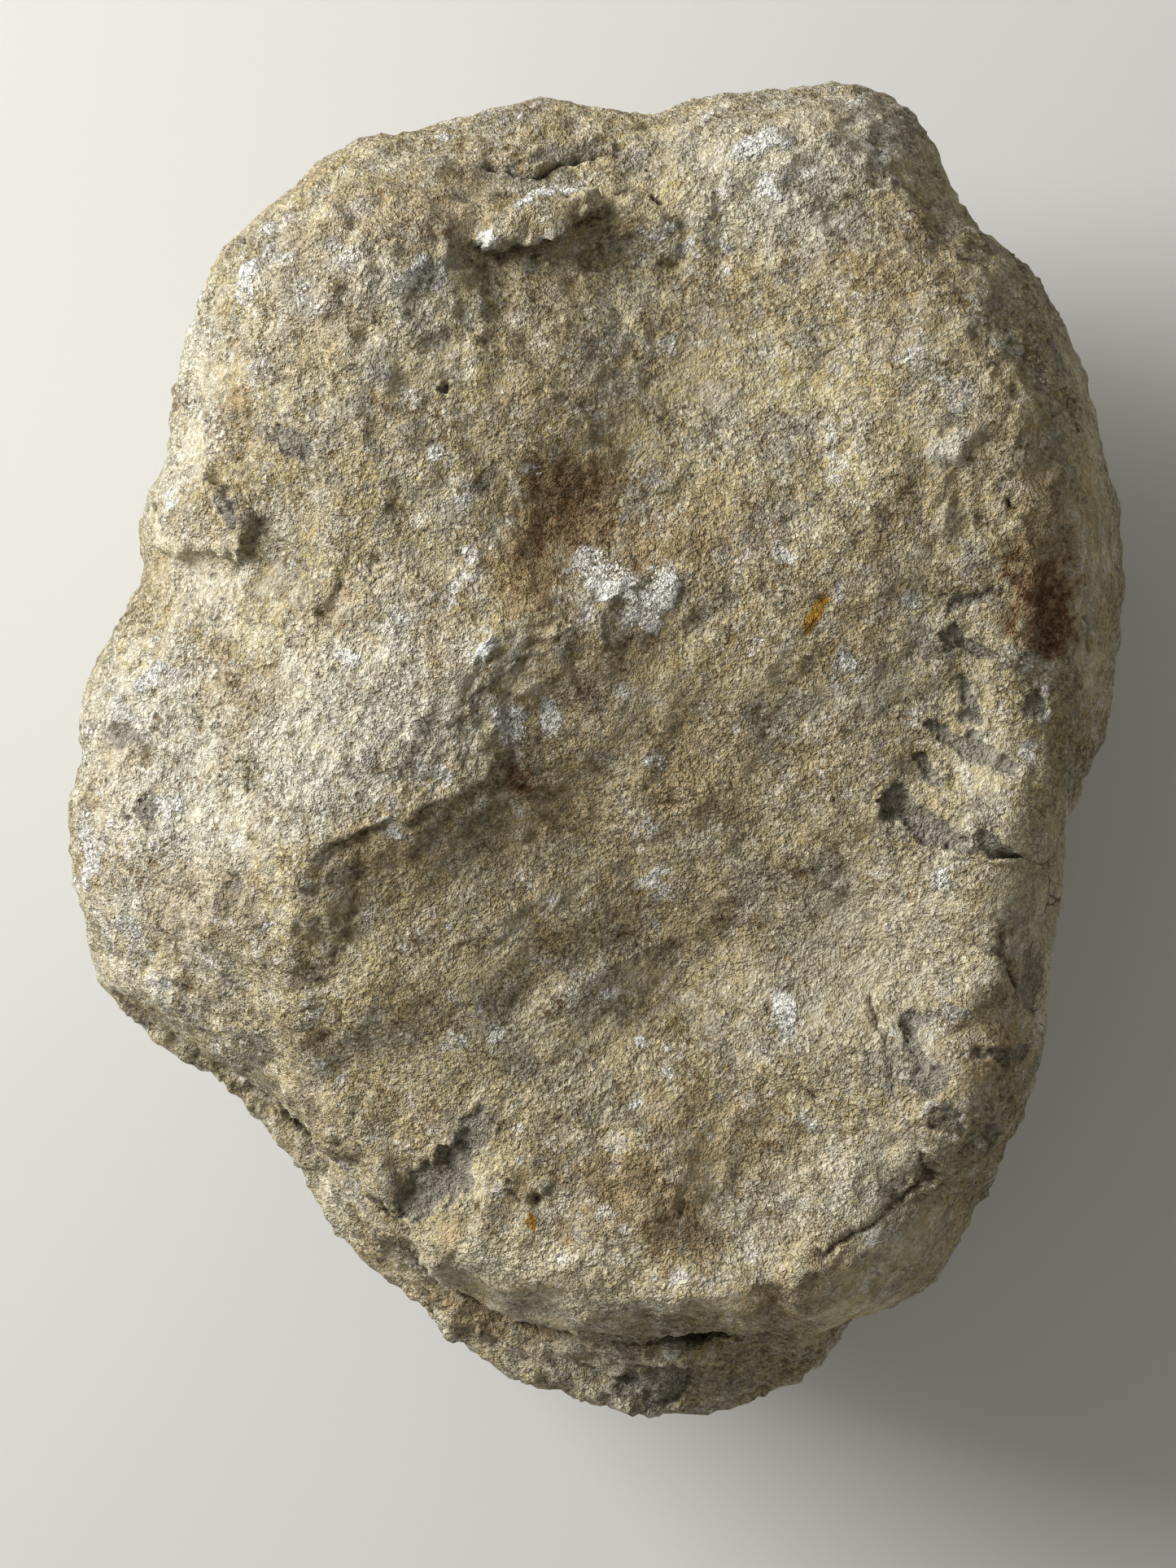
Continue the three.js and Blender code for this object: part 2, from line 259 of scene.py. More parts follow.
# Single lumps and grains standing up from the ground.
LUMPS = [
    area(-5.8, 61.9, 7.2, 3.6, 27, height=1.5, name="flake"),
    area(2, 20, 3.4, 3.4, -30, height=0.4, name="crystal knob"),
    area(7.6, 17.6, 2.8, 3.6, -20, height=0.4, name="crystal knob's right half"),
    area(40.5, 34.2, 2.8, 1.4, 25, height=0.8, name="cream chip"),
    area(-47, 27.5, 7.5, 5.6, height=0.5, name="crust tab"),
    area(9.2, 57.6, 2.4, 1.1, 55, height=0.8, name="grain in the groove"),
    area(-39, 54, 2.2, 2.4, height=0.7, name="white grain at the top left"),
    area(20.4, 67.5, 3.4, 3.6, height=0.7, name="top lobe's crystals"),
    area(-13, 10.5, 2.2, 1.6, height=0.6, name="crest's crystals"),
    area(29.5, 46, 2.6, 2, 30, height=0.4, name="right grain"),
    area(-42, 40.6, 1.7, 1.3, 20, height=0.6, name="brown grain"),
    area(13.4, -24.2, 1.7, 0.5, -12, height=0.7, name="loose chip"),
    area(-17.6, -61.4, 1.3, 2.4, -12, height=0.7, name="edge tab"),
]

# Where the rind has flaked off and the grey stone under it shows.
CHIPS = [
    area(38.8, -9, 5.2, 1.5, -27, depth=0.5, name="right chip"),
    area(35, -6.8, 1.8, 2, -20, depth=0.5, name="right chip's lobe"),
    area(38.3, -3.1, 2, 0.9, -50, depth=0.45, name="right chip's neck"),
    area(45.8, -10.4, 2.2, 1, -42, depth=0.5, name="right chip's tail"),
    area(43.5, 0, 4.8, 1, -27, depth=0.45, name="right band"),
    area(42.4, 4.6, 2.7, 0.8, -66, depth=0.4, name="right band's spur"),
    area(43.5, 16.6, 3.3, 0.9, 32, depth=0.4, name="chip by the rust"),
    area(43.2, 11.3, 3, 0.8, -26, depth=0.4, name="lower chip by the rust"),
    area(36.5, -31.8, 1.9, 0.9, 68, depth=0.5, name="low right hook's top"),
    area(37.2, -35, 2.6, 1, -66, depth=0.5, name="low right hook's middle"),
    area(38.2, -38.6, 2.2, 1.5, -75, depth=0.5, name="low right hook's foot"),
    area(40, -30.6, 2.4, 0.6, depth=0.3, name="low right fleck"),
    area(40.4, -42, 1.5, 1.4, depth=0.3, name="fleck under the hook"),
    area(46.2, -34.5, 2.3, 1.1, 10, depth=0.4, name="hollow by the hook"),
    area(44.5, -44.5, 1.1, 1.8, -20, depth=0.3, name="low right speck"),
    area(-18.6, -50.6, 5.8, 2.2, 52, depth=0.54, name="fresh scar"),
    area(-14, -44.8, 4.4, 1.3, 48, depth=0.3, name="scar's head"),
    area(-35.8, 35.5, 2.4, 1.2, -30, depth=0.3, name="left fleck"),
    area(-42.6, 27.2, 0.9, 2.9, 28, depth=0.48, name="gap in the tab"),
    area(-56.5, 1.2, 2.6, 1.5, 10, depth=0.3, name="left rim fleck"),
    area(-53.2, -7.2, 2.4, 1.2, 35, depth=0.3, name="left rim fleck 2"),
    area(-42.5, -17.5, 1.5, 1.9, depth=0.24, name="left crust fleck"),
    area(-1.5, 70.6, 6, 0.9, depth=0.18, name="top crack's grey"),
    area(8.5, -76.8, 4.2, 2.6, 5, depth=0.42, name="foot chip"),
    area(49, -27, 1.6, 3.2, depth=0.24, name="right rim chip"),
    area(50.5, 4.3, 1.2, 1.3, depth=0.35, name="recess fleck"),
    area(-17, 40.2, 0.9, 0.6, depth=0.3, name="hollow's top fleck"),
]

# Hairline cracks: the path, and the width and depth of the gap.
CRACKS = [
    {"path": [(46.4, -21.6), (46.1, -23.6), (46.4, -25.6), (47.2, -27.8)], "width": 0.29, "depth": 0.66},
    {"path": [(56, 15), (56.4, 12.4), (57.4, 10.4)], "width": 0.26, "depth": 0.6},
    {
        "path": [(32.2, -28), (32.8, -30), (32.8, -33), (33.4, -35.4), (34.4, -38.6)],
        "width": 0.26,
        "depth": 0.48,
    },
    {"path": [(3.2, 64.6), (5, 65.3), (7, 65.2), (8.6, 64)], "width": 0.33, "depth": 0.72},
    {"path": [(-12, 69.2), (-9, 68), (-6, 68.4), (-1, 69.8), (3.5, 69.5)], "width": 0.33, "depth": 0.9},
    {"path": [(-41.2, -1.8), (-40.6, -3.4), (-40.9, -5)], "width": 0.33, "depth": 0.48},
    {"path": [(23.2, -37.8), (24.2, -39.4), (25.4, -40.4)], "width": 0.26, "depth": 0.42},
    {"path": [(-10.5, -50.2), (-9.2, -51.8), (-8.8, -53)], "width": 0.39, "depth": 0.54},
    {"path": [(38.2, -46.5), (39.4, -49), (37, -51.6), (31, -55), (26, -58.5)], "width": 0.33, "depth": 0.54},
    {"path": [(47, 64), (49.2, 60), (51, 55.5)], "width": 0.33, "depth": 0.48},
    {"path": [(56.6, 44), (55.6, 40), (56.2, 36)], "width": 0.26, "depth": 0.42},
    {"path": [(-52.6, 30), (-53.6, 26), (-53, 23.8)], "width": 0.26, "depth": 0.42},
]

# Single deep pits.
HOLES = [
    {"at": (-6.5, -53), "radius": 0.8, "depth": 1.6},
    {"at": (-17, 40.2), "radius": 0.7, "depth": 1.2},
    {"at": (-54, -1), "radius": 0.9, "depth": 1.2},
    {"at": (46.4, -11.2), "radius": 1.0, "depth": 1.5},
    {"at": (54.6, 18), "radius": 0.7, "depth": 1.2},
    {"at": (48.4, 27.4), "radius": 0.6, "depth": 1.0},
    {"at": (49.4, 27.0), "radius": 0.5, "depth": 1.0},
    {"at": (-26, 21), "radius": 0.7, "depth": 0.9},
    {"at": (-47, 3.2), "radius": 0.8, "depth": 1.0},
    {"at": (8.4, 56.6), "radius": 1.1, "depth": 1.2},
]

# Stains and patches, each a soft ellipse that grain breaks up.
STAINS = {
    "rust": [
        area(-3.5, 27.5, 5.6, 6.4, -30, strength=0.72),
        area(0.5, 31, 3.4, 3.4, -20, strength=0.5),
        area(-7.5, 21, 5, 4.6, 30, strength=0.5),
        area(-7.6, -4.8, 2, 1.5, strength=0.8),
        area(-3.5, -7.4, 3, 2, strength=0.22),
        area(7, 23, 7, 3.6, 10, strength=0.43),
        area(13.5, 27, 6.5, 7, 20, strength=0.29),
        area(7.4, 13.6, 2.2, 1.2, strength=0.43),
        area(6.4, 10, 2.4, 3, strength=0.22),
        area(8, -1, 7, 8, 20, strength=0.27),
        area(50.6, 16.6, 3.9, 6.2, 6, strength=0.85),
        area(50.8, 12.6, 2.9, 2, strength=0.85),
        area(50, 22.5, 2.6, 2.4, strength=0.5),
        area(2.5, -50, 6, 4, strength=0.36),
        area(10, -55, 5, 6, -10, strength=0.43),
        area(15, -44, 12, 6, -25, strength=0.32),
        area(22.5, -45, 3, 3, strength=0.25),
        area(-42, 41, 2.6, 1.6, strength=0.36),
        area(-20, 61, 11, 6, -15, strength=0.32),
        area(-47, -18, 9, 5, -30, strength=0.29),
        area(-28, -17, 3, 2.4, strength=0.22),
        area(-4, -57, 1.6, 1.3, strength=0.43),
        area(-17, -56, 1.6, 3, strength=0.36),
        area(38, -52, 2.4, 4, strength=0.25),
        area(40, -43, 2, 4, 10, strength=0.25),
        area(-20, -36, 3.4, 2.4, strength=0.18),
        area(-31, 49, 9, 6, 30, strength=0.25),
        area(-30, 26, 5, 7, strength=0.13),
        area(-12, -69, 8, 2.5, -15, strength=0.4),
        area(25, 70, 9, 6, strength=0.1),
        area(52, 27, 3, 8, 10, strength=0.3),
    ],
    "amber": [
        area(25, 14, 0.9, 1.5, strength=1.0),
        area(25.8, 16.2, 0.6, 0.9, strength=0.8),
        area(15.5, -37, 0.7, 0.6, strength=0.7),
        area(-7.4, -55.6, 0.9, 1.1, strength=0.8),
    ],
    "quartz": [
        area(0.8, 21.2, 3.2, 2.2, -30, strength=0.75),
        area(3, 19, 2.6, 2.4, strength=1.0),
        area(8, 18.4, 2, 3.2, -20, strength=1.0),
        area(6.4, 14.6, 2.6, 1.8, strength=0.75),
        area(-2.6, 19.2, 1.8, 1.2, strength=0.5),
        area(-13, 10.4, 2, 1.6, strength=1.0),
        area(-28.5, 10.5, 1.4, 1, strength=0.8),
        area(-8.2, 1, 1.6, 1.9, strength=0.85),
        area(-4.8, 2, 1.4, 2.2, strength=0.85),
        area(7, -2, 2, 1.6, 20, strength=0.6),
        area(22, -30.4, 1.3, 2.4, -10, strength=0.9),
        area(5.5, -34, 0.9, 0.8, strength=1.0),
        area(5.5, -41, 0.8, 0.9, strength=0.9),
        area(-39, 54, 1.8, 2.2, 20, strength=1.0),
        area(-42.2, 57.6, 1.4, 0.8, 40, strength=0.7),
        area(-35.8, 56.6, 1.6, 1.6, strength=0.6),
        area(20, 69.4, 3.2, 1.5, 20, strength=0.9),
        area(20.6, 65, 2.4, 1.6, strength=0.8),
        area(8, 60.4, 2.6, 0.9, 15, strength=0.7),
        area(10.8, 57.8, 0.9, 2.2, -30, strength=0.7),
        area(-4.6, 64.8, 5, 1.2, 27, strength=0.85),
        area(-12.4, 58.4, 1.2, 1, strength=1.0),
        area(28.5, 9.4, 1.8, 1.6, strength=0.7),
        area(31.5, 19.5, 1, 0.8, strength=0.5),
        area(-52.4, 8.6, 2.6, 1.3, 25, strength=0.8),
        area(-50.6, -6.4, 2.2, 1.6, strength=0.8),
        area(-57, 5, 1.4, 2, strength=0.6),
        area(-61.5, -13, 1.6, 5, strength=0.8),
        area(-55, -22, 3, 2, -40, strength=0.6),
        area(-17.4, 33, 1.7, 0.9, 20, strength=0.7),
        area(-27, -2, 1.4, 2, strength=0.5),
        area(40.4, -15.6, 1.4, 1.2, strength=0.8),
        area(-20, 53.6, 4, 2, 10, strength=0.75),
        area(-29, 56, 3, 2, -20, strength=0.6),
        area(-33, 52, 2, 3, strength=0.5),
        area(-38, 45, 2, 2.4, strength=0.5),
        area(-27, 62, 3, 1.6, 20, strength=0.5),
        area(-25, 43, 2.6, 1.2, 30, strength=0.5),
        area(-33, -30, 1.6, 2.4, strength=0.5),
        area(40, -31.6, 2, 3, strength=0.45),
        area(51, 43, 1.4, 3, 20, strength=0.5),
        area(44, 52, 2, 1.4, strength=0.4),
        area(8.5, 46, 1.4, 2, strength=0.6),
        area(-6.4, 31.4, 1.5, 0.8, strength=0.6),
        area(49.6, 9.6, 1.2, 1.2, strength=0.6),
        area(30, 76, 3, 2, strength=0.5),
        area(-12, 78, 4, 1.6, 10, strength=0.6),
    ],
    # Partly bleached rind, partly painted highlight: the lit left side is made whiter and paler.
    "bleach_and_highlight": [
        area(40.6, 34, 2.4, 1.6, 25, strength=1.0),
        area(30, -24, 15, 9, 20, strength=0.5),
        area(26, -52, 14, 7, 15, strength=0.55),
        area(-52, -6, 13, 22, strength=1.0),
        area(-47, 22, 7, 7, strength=0.5),
        area(-50, 42, 6, 16, -10, strength=0.7),
        area(-30, 2, 20, 12, 30, strength=0.9),
        area(-28, 55, 14, 9, 20, strength=0.5),
        area(20, 66, 10, 8, strength=0.6),
        area(30, 72, 9, 8, strength=0.8),
        area(-5, -62, 18, 5, -10, strength=0.3),
        area(-6, -75, 7, 3, -20, strength=0.5),
        area(4, -75.5, 4, 3, strength=0.4),
        area(-38, -53, 10, 3, -42, strength=0.6),
        area(52, -24, 5, 14, strength=0.5),
    ],
}

# Zones of the rind, which decide its grain: streaked, even, lumpy, and smooth and chalky.
ZONES = {
    "streaked": [
        area(5, -26, 34, 22, 15, strength=1.0),
        area(16, 4, 26, 16, 30, strength=0.7),
    ],
    "even": [
        area(4, 34, 26, 18, 30, strength=1.0),
        area(22, 2, 22, 16, 20, strength=0.8),
        area(2, -30, 32, 18, 10, strength=0.8),
        area(-24, 16, 16, 12, 20, strength=0.7),
    ],
    "lumpy": [
        area(-27, 54, 20, 17, -30, strength=1.0),
        area(22, 67, 14, 8, strength=0.7),
        area(-46, 27, 8, 8, strength=0.6),
    ],
    "smooth": [
        area(53, -22, 8, 18, strength=1.0),
        area(58, 22, 5, 20, strength=0.8),
        area(4, -62, 22, 6, 3, strength=0.8),
        area(34, -62, 14, 7, 25, strength=0.9),
        area(33, -34, 11, 15, -10, strength=0.5),
        area(46, 0, 5, 12, strength=0.5),
        area(-48, 25, 7, 8, strength=0.5),
        area(-5.8, 62, 8, 4, 27, strength=0.45),
    ],
}

# The broken edge of the upper bed, from the left round the foot of the stone to the right. Below it the
# stone is undercut, and the lower bed sticks out from under it.
SLAB_EDGE = [
    (-46.5, -40.5), (-32, -48), (-24, -53.5), (-20.5, -58), (-19, -62.5), (-14.5, -66.5), (-9, -68.8),
    (-2.5, -69.6), (6, -69.6), (13.5, -68.4), (21.5, -66.8), (28.5, -67), (36, -72),
]


def step(values, low, high):
    """Rises smoothly from 0 at low to 1 at high."""
    t = np.clip((values - low) / (high - low), 0, 1)
    return t * t * (3 - 2 * t)


def bell(values, width):
    return np.exp(-((values / width) ** 2))


class Grain:
    """Random fields over points in millimetres, the same on every run."""

    def __init__(self, seed):
        random = np.random.default_rng(seed)
        self.order = random.permutation(256)
        slopes = random.normal(size=(256, 3))
        self.slopes = slopes / np.linalg.norm(slopes, axis=1)[:, None]
        self.places = random.random((256, 3))
        self.ranks = random.random(256)

    def _pick(self, cells):
        x, y, z = (cells & 255).T
        return self.order[(self.order[(self.order[x] + y) & 255] + z) & 255]

    def swell(self, points, size):
        """Smooth swells about size apart, mostly between -1 and 1."""
        scaled = points / size
        cells = np.floor(scaled).astype(int)
        inside = scaled - cells
        fade = inside**3 * (inside * (inside * 6 - 15) + 10)
        total = np.zeros(len(points))
        for corner in np.ndindex(2, 2, 2):
            corner = np.array(corner)
            slope = self.slopes[self._pick(cells + corner)]
            share = np.prod(np.where(corner, fade, 1 - fade), axis=1)
            total += share * np.einsum("ij,ij->i", slope, inside - corner)
        return 1.6 * total

    def rough(self, points, size, octaves=3, gain=0.5):
        """Swells with finer swells on them."""
        return sum(
            gain**i * self.swell(points + 31.7 * i, size / 2.1**i) for i in range(octaves)
        )

    def cells(self, points, size):
        """The distances to the nearest and second nearest of scattered points, in cell sizes, and the
        nearest one's own random number."""
        scaled = points / size
        home = np.floor(scaled).astype(int)
        nearest = np.full(len(points), 9.0)
        second = np.full(len(points), 9.0)
        rank = np.zeros(len(points))
        for offset in np.ndindex(3, 3, 3):
            cell = home + np.array(offset) - 1
            picked = self._pick(cell)
            away = np.linalg.norm(cell + self.places[picked] - scaled, axis=1)
            closer = away < nearest
            second = np.where(closer, nearest, np.minimum(second, away))
            rank = np.where(closer, self.ranks[picked], rank)
            nearest = np.where(closer, away, nearest)
        return nearest, second, rank


def off_path(points, path):
    """How far each point in plan lies from a path, positive on its right, and how far past its ends."""
    best = np.full(len(points), 1e9)
    side = np.ones(len(points))
    past = np.zeros(len(points))
    for i in range(len(path) - 1):
        start = np.array(path[i], float)
        run = np.array(path[i + 1], float) - start
        length = np.linalg.norm(run)
        run /= length
        away = points - start
        along = away @ run
        across = away[:, 0] * run[1] - away[:, 1] * run[0]
        over = np.where(i == 0, np.maximum(-along, 0), 0) + np.where(
            i == len(path) - 2, np.maximum(along - length, 0), 0
        )
        distance = np.hypot(across, along - np.clip(along, 0, length))
        closer = distance < best
        best = np.where(closer, distance, best)
        side = np.where(closer, np.where(across < 0, -1, 1), side)
        past = np.where(closer, over, past)
    return best * side, past


def in_ellipse(points, patch):
    """The distance of each point in plan from a patch's middle: 1 on the patch's edge."""
    turn = math.radians(patch["turn"])
    away = points - np.array(patch["at"], float)
    u = away @ np.array((math.cos(turn), math.sin(turn))) / patch["size"][0]
    v = away @ np.array((-math.sin(turn), math.cos(turn))) / patch["size"][1]
    return np.hypot(u, v)


def patches(points, listed, ragged=0.0):
    """The strongest of the listed patches at each point, fading out at their edges."""
    strongest = np.zeros(len(points))
    for patch in listed:
        reach = in_ellipse(points, patch) + ragged
        strongest = np.maximum(strongest, patch["strength"] * (1 - step(reach, 0.55, 1.35)))
    return strongest


class Carving:
    """The stone's fine mesh while it is carved, with its points in millimetres."""

    def __init__(self, mesh):
        self.mesh = mesh
        count = len(mesh.vertices)
        points = np.empty(3 * count)
        mesh.vertices.foreach_get("co", points)
        self.points = points.reshape(count, 3) / MM
        edges = np.empty(2 * len(mesh.edges), int)
        mesh.edges.foreach_get("vertices", edges)
        self.edges = edges.reshape(-1, 2)
        self.links = np.bincount(self.edges.ravel(), minlength=count).astype(float)
        self.masks = {}

    def normals(self):
        normals = np.empty(self.points.size)
        self.mesh.vertices.foreach_set("co", (self.points * MM).ravel())
        self.mesh.update()
        self.mesh.vertex_normals.foreach_get("vector", normals)
        return normals.reshape(-1, 3)

    def even(self, values, rounds):
        """Values averaged with their neighbours' along the mesh, so many times over."""
        a, b = self.edges.T
        for _ in range(rounds):
            if values.ndim == 1:
                total = np.bincount(a, values[b], len(values)) + np.bincount(b, values[a], len(values))
                values = (values + total / self.links) / 2
            else:
                values = np.stack([self.even(column, 1) for column in values.T], axis=1)
        return values

    def raise_by(self, height):
        self.points += self.normals() * height[:, None]

    def save(self):
        self.mesh.vertices.foreach_set("co", (self.points * MM).ravel())
        for name, values in self.masks.items():
            attribute = self.mesh.attributes.new(name, "FLOAT", "POINT")
            attribute.data.foreach_set("value", np.clip(values, 0, 1).astype(np.float32))
        self.mesh.update()


# ---- Settings ----


def length_setting(name, description, default):
    return FloatProperty(name=name, description=description, default=default, unit="LENGTH")


def colour_setting(name, description, default):
    return FloatVectorProperty(
        name=name,
        description=description,
        default=default,
        subtype="COLOR",
        size=3,
        min=0,
        max=1,
    )


class GeodeRelief(bpy.types.PropertyGroup):
    """Sizes of the stone's fine relief"""

    spacing: length_setting(
        "Mesh spacing",
        "Spacing of the mesh underneath the stone, and four times its spacing on the face",
        0.00255,
    )
    lump_height: length_setting("Lump height", "Height of the rind's uneven lumps", 0.0005)
    plate_height: length_setting(
        "Plate height",
        "Height of the low, ragged edges of the rind's crusts",
        0.00042,
    )
    knob_size: length_setting("Knob size", "Spacing of the round knobs in the lumpy zones", 0.0032)
    knob_height: length_setting("Knob height", "Height of the round knobs in the lumpy zones", 0.0009)
    pit_spacing: length_setting("Pit spacing", "Spacing of the cells that may hold a pit", 0.0021)
    pit_depth: length_setting("Pit depth", "Depth of the rind's small pits", 0.00045)
    streak_height: length_setting("Streak height", "Height of the slanting streaks in the hollow", 0.00015)
    undercut: length_setting("Undercut", "How far the upper bed's broken edge overhangs", 0.003)
    gap_depth: length_setting(
        "Gap depth",
        "Depth of the gap between the upper bed's broken edge and the lower bed",
        0.0028,
    )
    layer_height: length_setting("Layer height", "Height of the lower bed's thin layers", 0.0010)
    crystal_size: length_setting("Crystal size", "Size of the quartz grains in the white patches", 0.0004)
    crystal_count: IntProperty(
        name="Crystals",
        description="Number of quartz grains",
        default=1500,
        min=0,
    )


class GeodeColours(bpy.types.PropertyGroup):
    """Colours of the rind and of what shows through it"""

    cream: colour_setting("Cream", "The rind's usual colour", (0.62, 0.54, 0.34))
    tan: colour_setting("Tan", "The rind's darker, earthy colour", (0.43, 0.35, 0.20))
    chalk: colour_setting("Chalk", "The rind where it is bleached", (0.74, 0.71, 0.59))
    ash: colour_setting("Ash", "The cool grey tinge in the rind", (0.40, 0.372, 0.30))
    earth: colour_setting("Earth", "The warm brown tinge in the rind", (0.46, 0.335, 0.175))
    # Painted shade and dirt in the pores, which the grain's bump also sinks.
    pore_shade_and_dirt: colour_setting("Crevice", "What darkens the rind's colour in its pores", (0.56, 0.41, 0.25))
    # Soil is dirt and painted shade: it darkens the pits, cracks, gaps, ledges' feet and sunken ground.
    soil_and_shade: colour_setting("Soil", "The dirt in the pits and cracks", (0.15, 0.12, 0.075))
    flint: colour_setting("Flint", "The grey stone under the rind", (0.325, 0.302, 0.25))
    rust: colour_setting("Rust", "The iron stains", (0.16, 0.078, 0.038))
    amber: colour_setting("Amber", "The ochre spots", (0.40, 0.22, 0.04))
    ochre: colour_setting("Ochre", "The yellow specks in the rind", (0.52, 0.405, 0.17))
    quartz: colour_setting("Quartz", "The white crystals", (0.90, 0.89, 0.85))


class GeodeStudio(bpy.types.PropertyGroup):
    """The floor, lights and camera"""

    floor_colour: colour_setting("Floor", "The floor's colour", (0.80, 0.80, 0.80))
    floor_size: length_setting("Floor size", "Length of the square floor's side", 6.0)
    camera_height: length_setting("Camera height", "Height of the camera over the floor", 0.486)
    lens: FloatProperty(
        name="Lens",
        description="Focal length of the camera's lens",
        default=83.1,
        unit="CAMERA",
    )
    window_power: FloatProperty(
        name="Window light",
        description="Power of the large soft light at the upper left",
        default=10.6,
        unit="POWER",
    )
    fill: FloatProperty(
        name="Fill",
        description="Strength of the even light from all round",
        default=0.24,
    )


# ---- Shader nodes ----


class Wire:
    """A node's output, on which shader maths is written as Python expressions."""

    def __init__(self, finish, socket):
        self.finish = finish
        self.socket = socket

    def maths(self, operation, *values):
        return self.finish.node("ShaderNodeMath", {"operation": operation}, dict(enumerate(values)))

    def __add__(self, other):
        return self.maths("ADD", self, other)

    __radd__ = __add__

    def __sub__(self, other):
        return self.maths("SUBTRACT", self, other)

    def __rsub__(self, other):
        return self.maths("SUBTRACT", other, self)

    def __mul__(self, other):
        return self.maths("MULTIPLY", self, other)

    __rmul__ = __mul__

    def span(self, low, high):
        """0 at low and below, 1 at high and above."""
        settings = {"interpolation_type": "SMOOTHSTEP"}
        return self.finish.node("ShaderNodeMapRange", settings, {0: self, 1: low, 2: high})


class Finish:
    """A material under construction, on a Principled shader."""

    def __init__(self, name):
        self.material = bpy.data.materials.new(name)
        self.material.use_nodes = True
        self.tree = self.material.node_tree
        self.shader = self.tree.nodes["Principled BSDF"]

    def node(self, kind, settings=None, inputs=None, output=0):
        """Adds a node: settings first, then its sockets' values or links. Returns one output."""
        made = self.tree.nodes.new(kind)
        for name, value in (settings or {}).items():
            setattr(made, name, value)
        for key, value in (inputs or {}).items():
            self.put(made.inputs[key], value)
        return Wire(self, made.outputs[output])

    def put(self, socket, value):
        if isinstance(value, Wire):
            self.tree.links.new(value.socket, socket)
        elif socket.type == "RGBA" and len(value) == 3:
            socket.default_value = (*value, 1)
        else:
            socket.default_value = value

    def set(self, **values):
        """Sets the shader's own sockets, named with underscores for spaces."""
        for name, value in values.items():
            self.put(self.shader.inputs[name.replace("_", " ")], value)

    def mask(self, name):
        return self.node("ShaderNodeAttribute", {"attribute_name": name}, output="Fac")

    def millimetres(self):
        """Object coordinates in millimetres."""
        place = self.node("ShaderNodeTexCoord", output="Object")
        return self.node("ShaderNodeVectorMath", {"operation": "SCALE"}, {0: place, "Scale": 1 / MM})

    def mottle(self, place, size, detail=2.0, roughness=0.5, distortion=0.0):
        """Noise with patches about size apart, round 0.5."""
        inputs = {
            "Vector": place,
            "Scale": 1 / size,
            "Detail": detail,
            "Roughness": roughness,
            "Distortion": distortion,
        }
        return self.node("ShaderNodeTexNoise", {}, inputs)

    def crumbs(self, place, size):
        """Grains about size apart: the distance from a grain's middle, and the grain's own random value."""
        distance = self.node("ShaderNodeTexVoronoi", {}, {"Vector": place, "Scale": 1 / size})
        colour = Wire(self, distance.socket.node.outputs["Color"])
        return distance, self.node("ShaderNodeSeparateColor", {}, {0: colour})

    def warp(self, place, amount, size):
        """A place moved about by noise, to bend what is laid out by it."""
        inputs = {"Vector": place, "Scale": 1 / size, "Detail": 1.0}
        colour = self.node("ShaderNodeTexNoise", {}, inputs, output="Color")
        moved = self.node("ShaderNodeVectorMath", {"operation": "SCALE"}, {0: colour, "Scale": amount})
        return self.node("ShaderNodeVectorMath", {"operation": "ADD"}, {0: place, 1: moved})

    def blend(self, factor, base, top, how="MIX"):
        settings = {"data_type": "RGBA", "blend_type": how}
        return self.node("ShaderNodeMix", settings, {0: factor, 6: base, 7: top}, output=2)

    def layered(self, colour, layers):
        """A colour with others laid over it in turn, each by its own share."""
        for share, top in layers:
            colour = self.blend(share, colour, top)
        return colour

    def shade(self, colour, factor):
        """A colour made lighter or darker by a value."""
        colour = colour if isinstance(colour, Wire) else tuple(colour)
        return self.node("ShaderNodeVectorMath", {"operation": "SCALE"}, {0: colour, "Scale": factor})


class RindNoise:
    """The noises and masks that the rind's colour and its grain share."""

    def __init__(self, finish):
        place = self.place = finish.millimetres()
        self.warped = finish.warp(place, 0.35, 0.5)
        slant = (0, 0, math.radians(-STREAK_SLANT))
        self.turned = finish.node("ShaderNodeMapping", {}, {"Vector": place, "Rotation": slant})
        stretched = finish.node("ShaderNodeMapping", {}, {"Vector": self.turned, "Scale": (0.55, 1, 1)})
        self.middling = finish.mottle(place, 6.5, 4, 0.62)
        self.small = finish.mottle(place, 1.6, 3, 0.6)
        self.fine = finish.mottle(place, 0.48, 2, 0.75)
        self.fibres = finish.mottle(stretched, 0.6, 2, 0.65)
        distance, self.lot = finish.crumbs(self.warped, 0.5)
        self.gaps = distance.span(0.3, 0.7)
        self.smooth = finish.mask("smooth")
        self.streaked = finish.mask("streaked")
        self.bleach_and_highlight = finish.mask("bleach_and_highlight")
        eaten = finish.mask("eaten")
        self.pores = finish.mottle(self.warped, 1.0, 3, 0.7).span(0.46, 0.34) * (0.25 + 0.75 * eaten)
        self.gritty = (1 - 0.6 * self.smooth) * (0.7 + 0.4 * eaten) * (1 - 0.15 * self.bleach_and_highlight)
        self.ragged = 0.5 * (self.small - 0.5) + 0.9 * (self.fine - 0.5)
        self.quartz = (finish.mask("quartz") + 1.3 * self.ragged).span(0.35, 0.85)


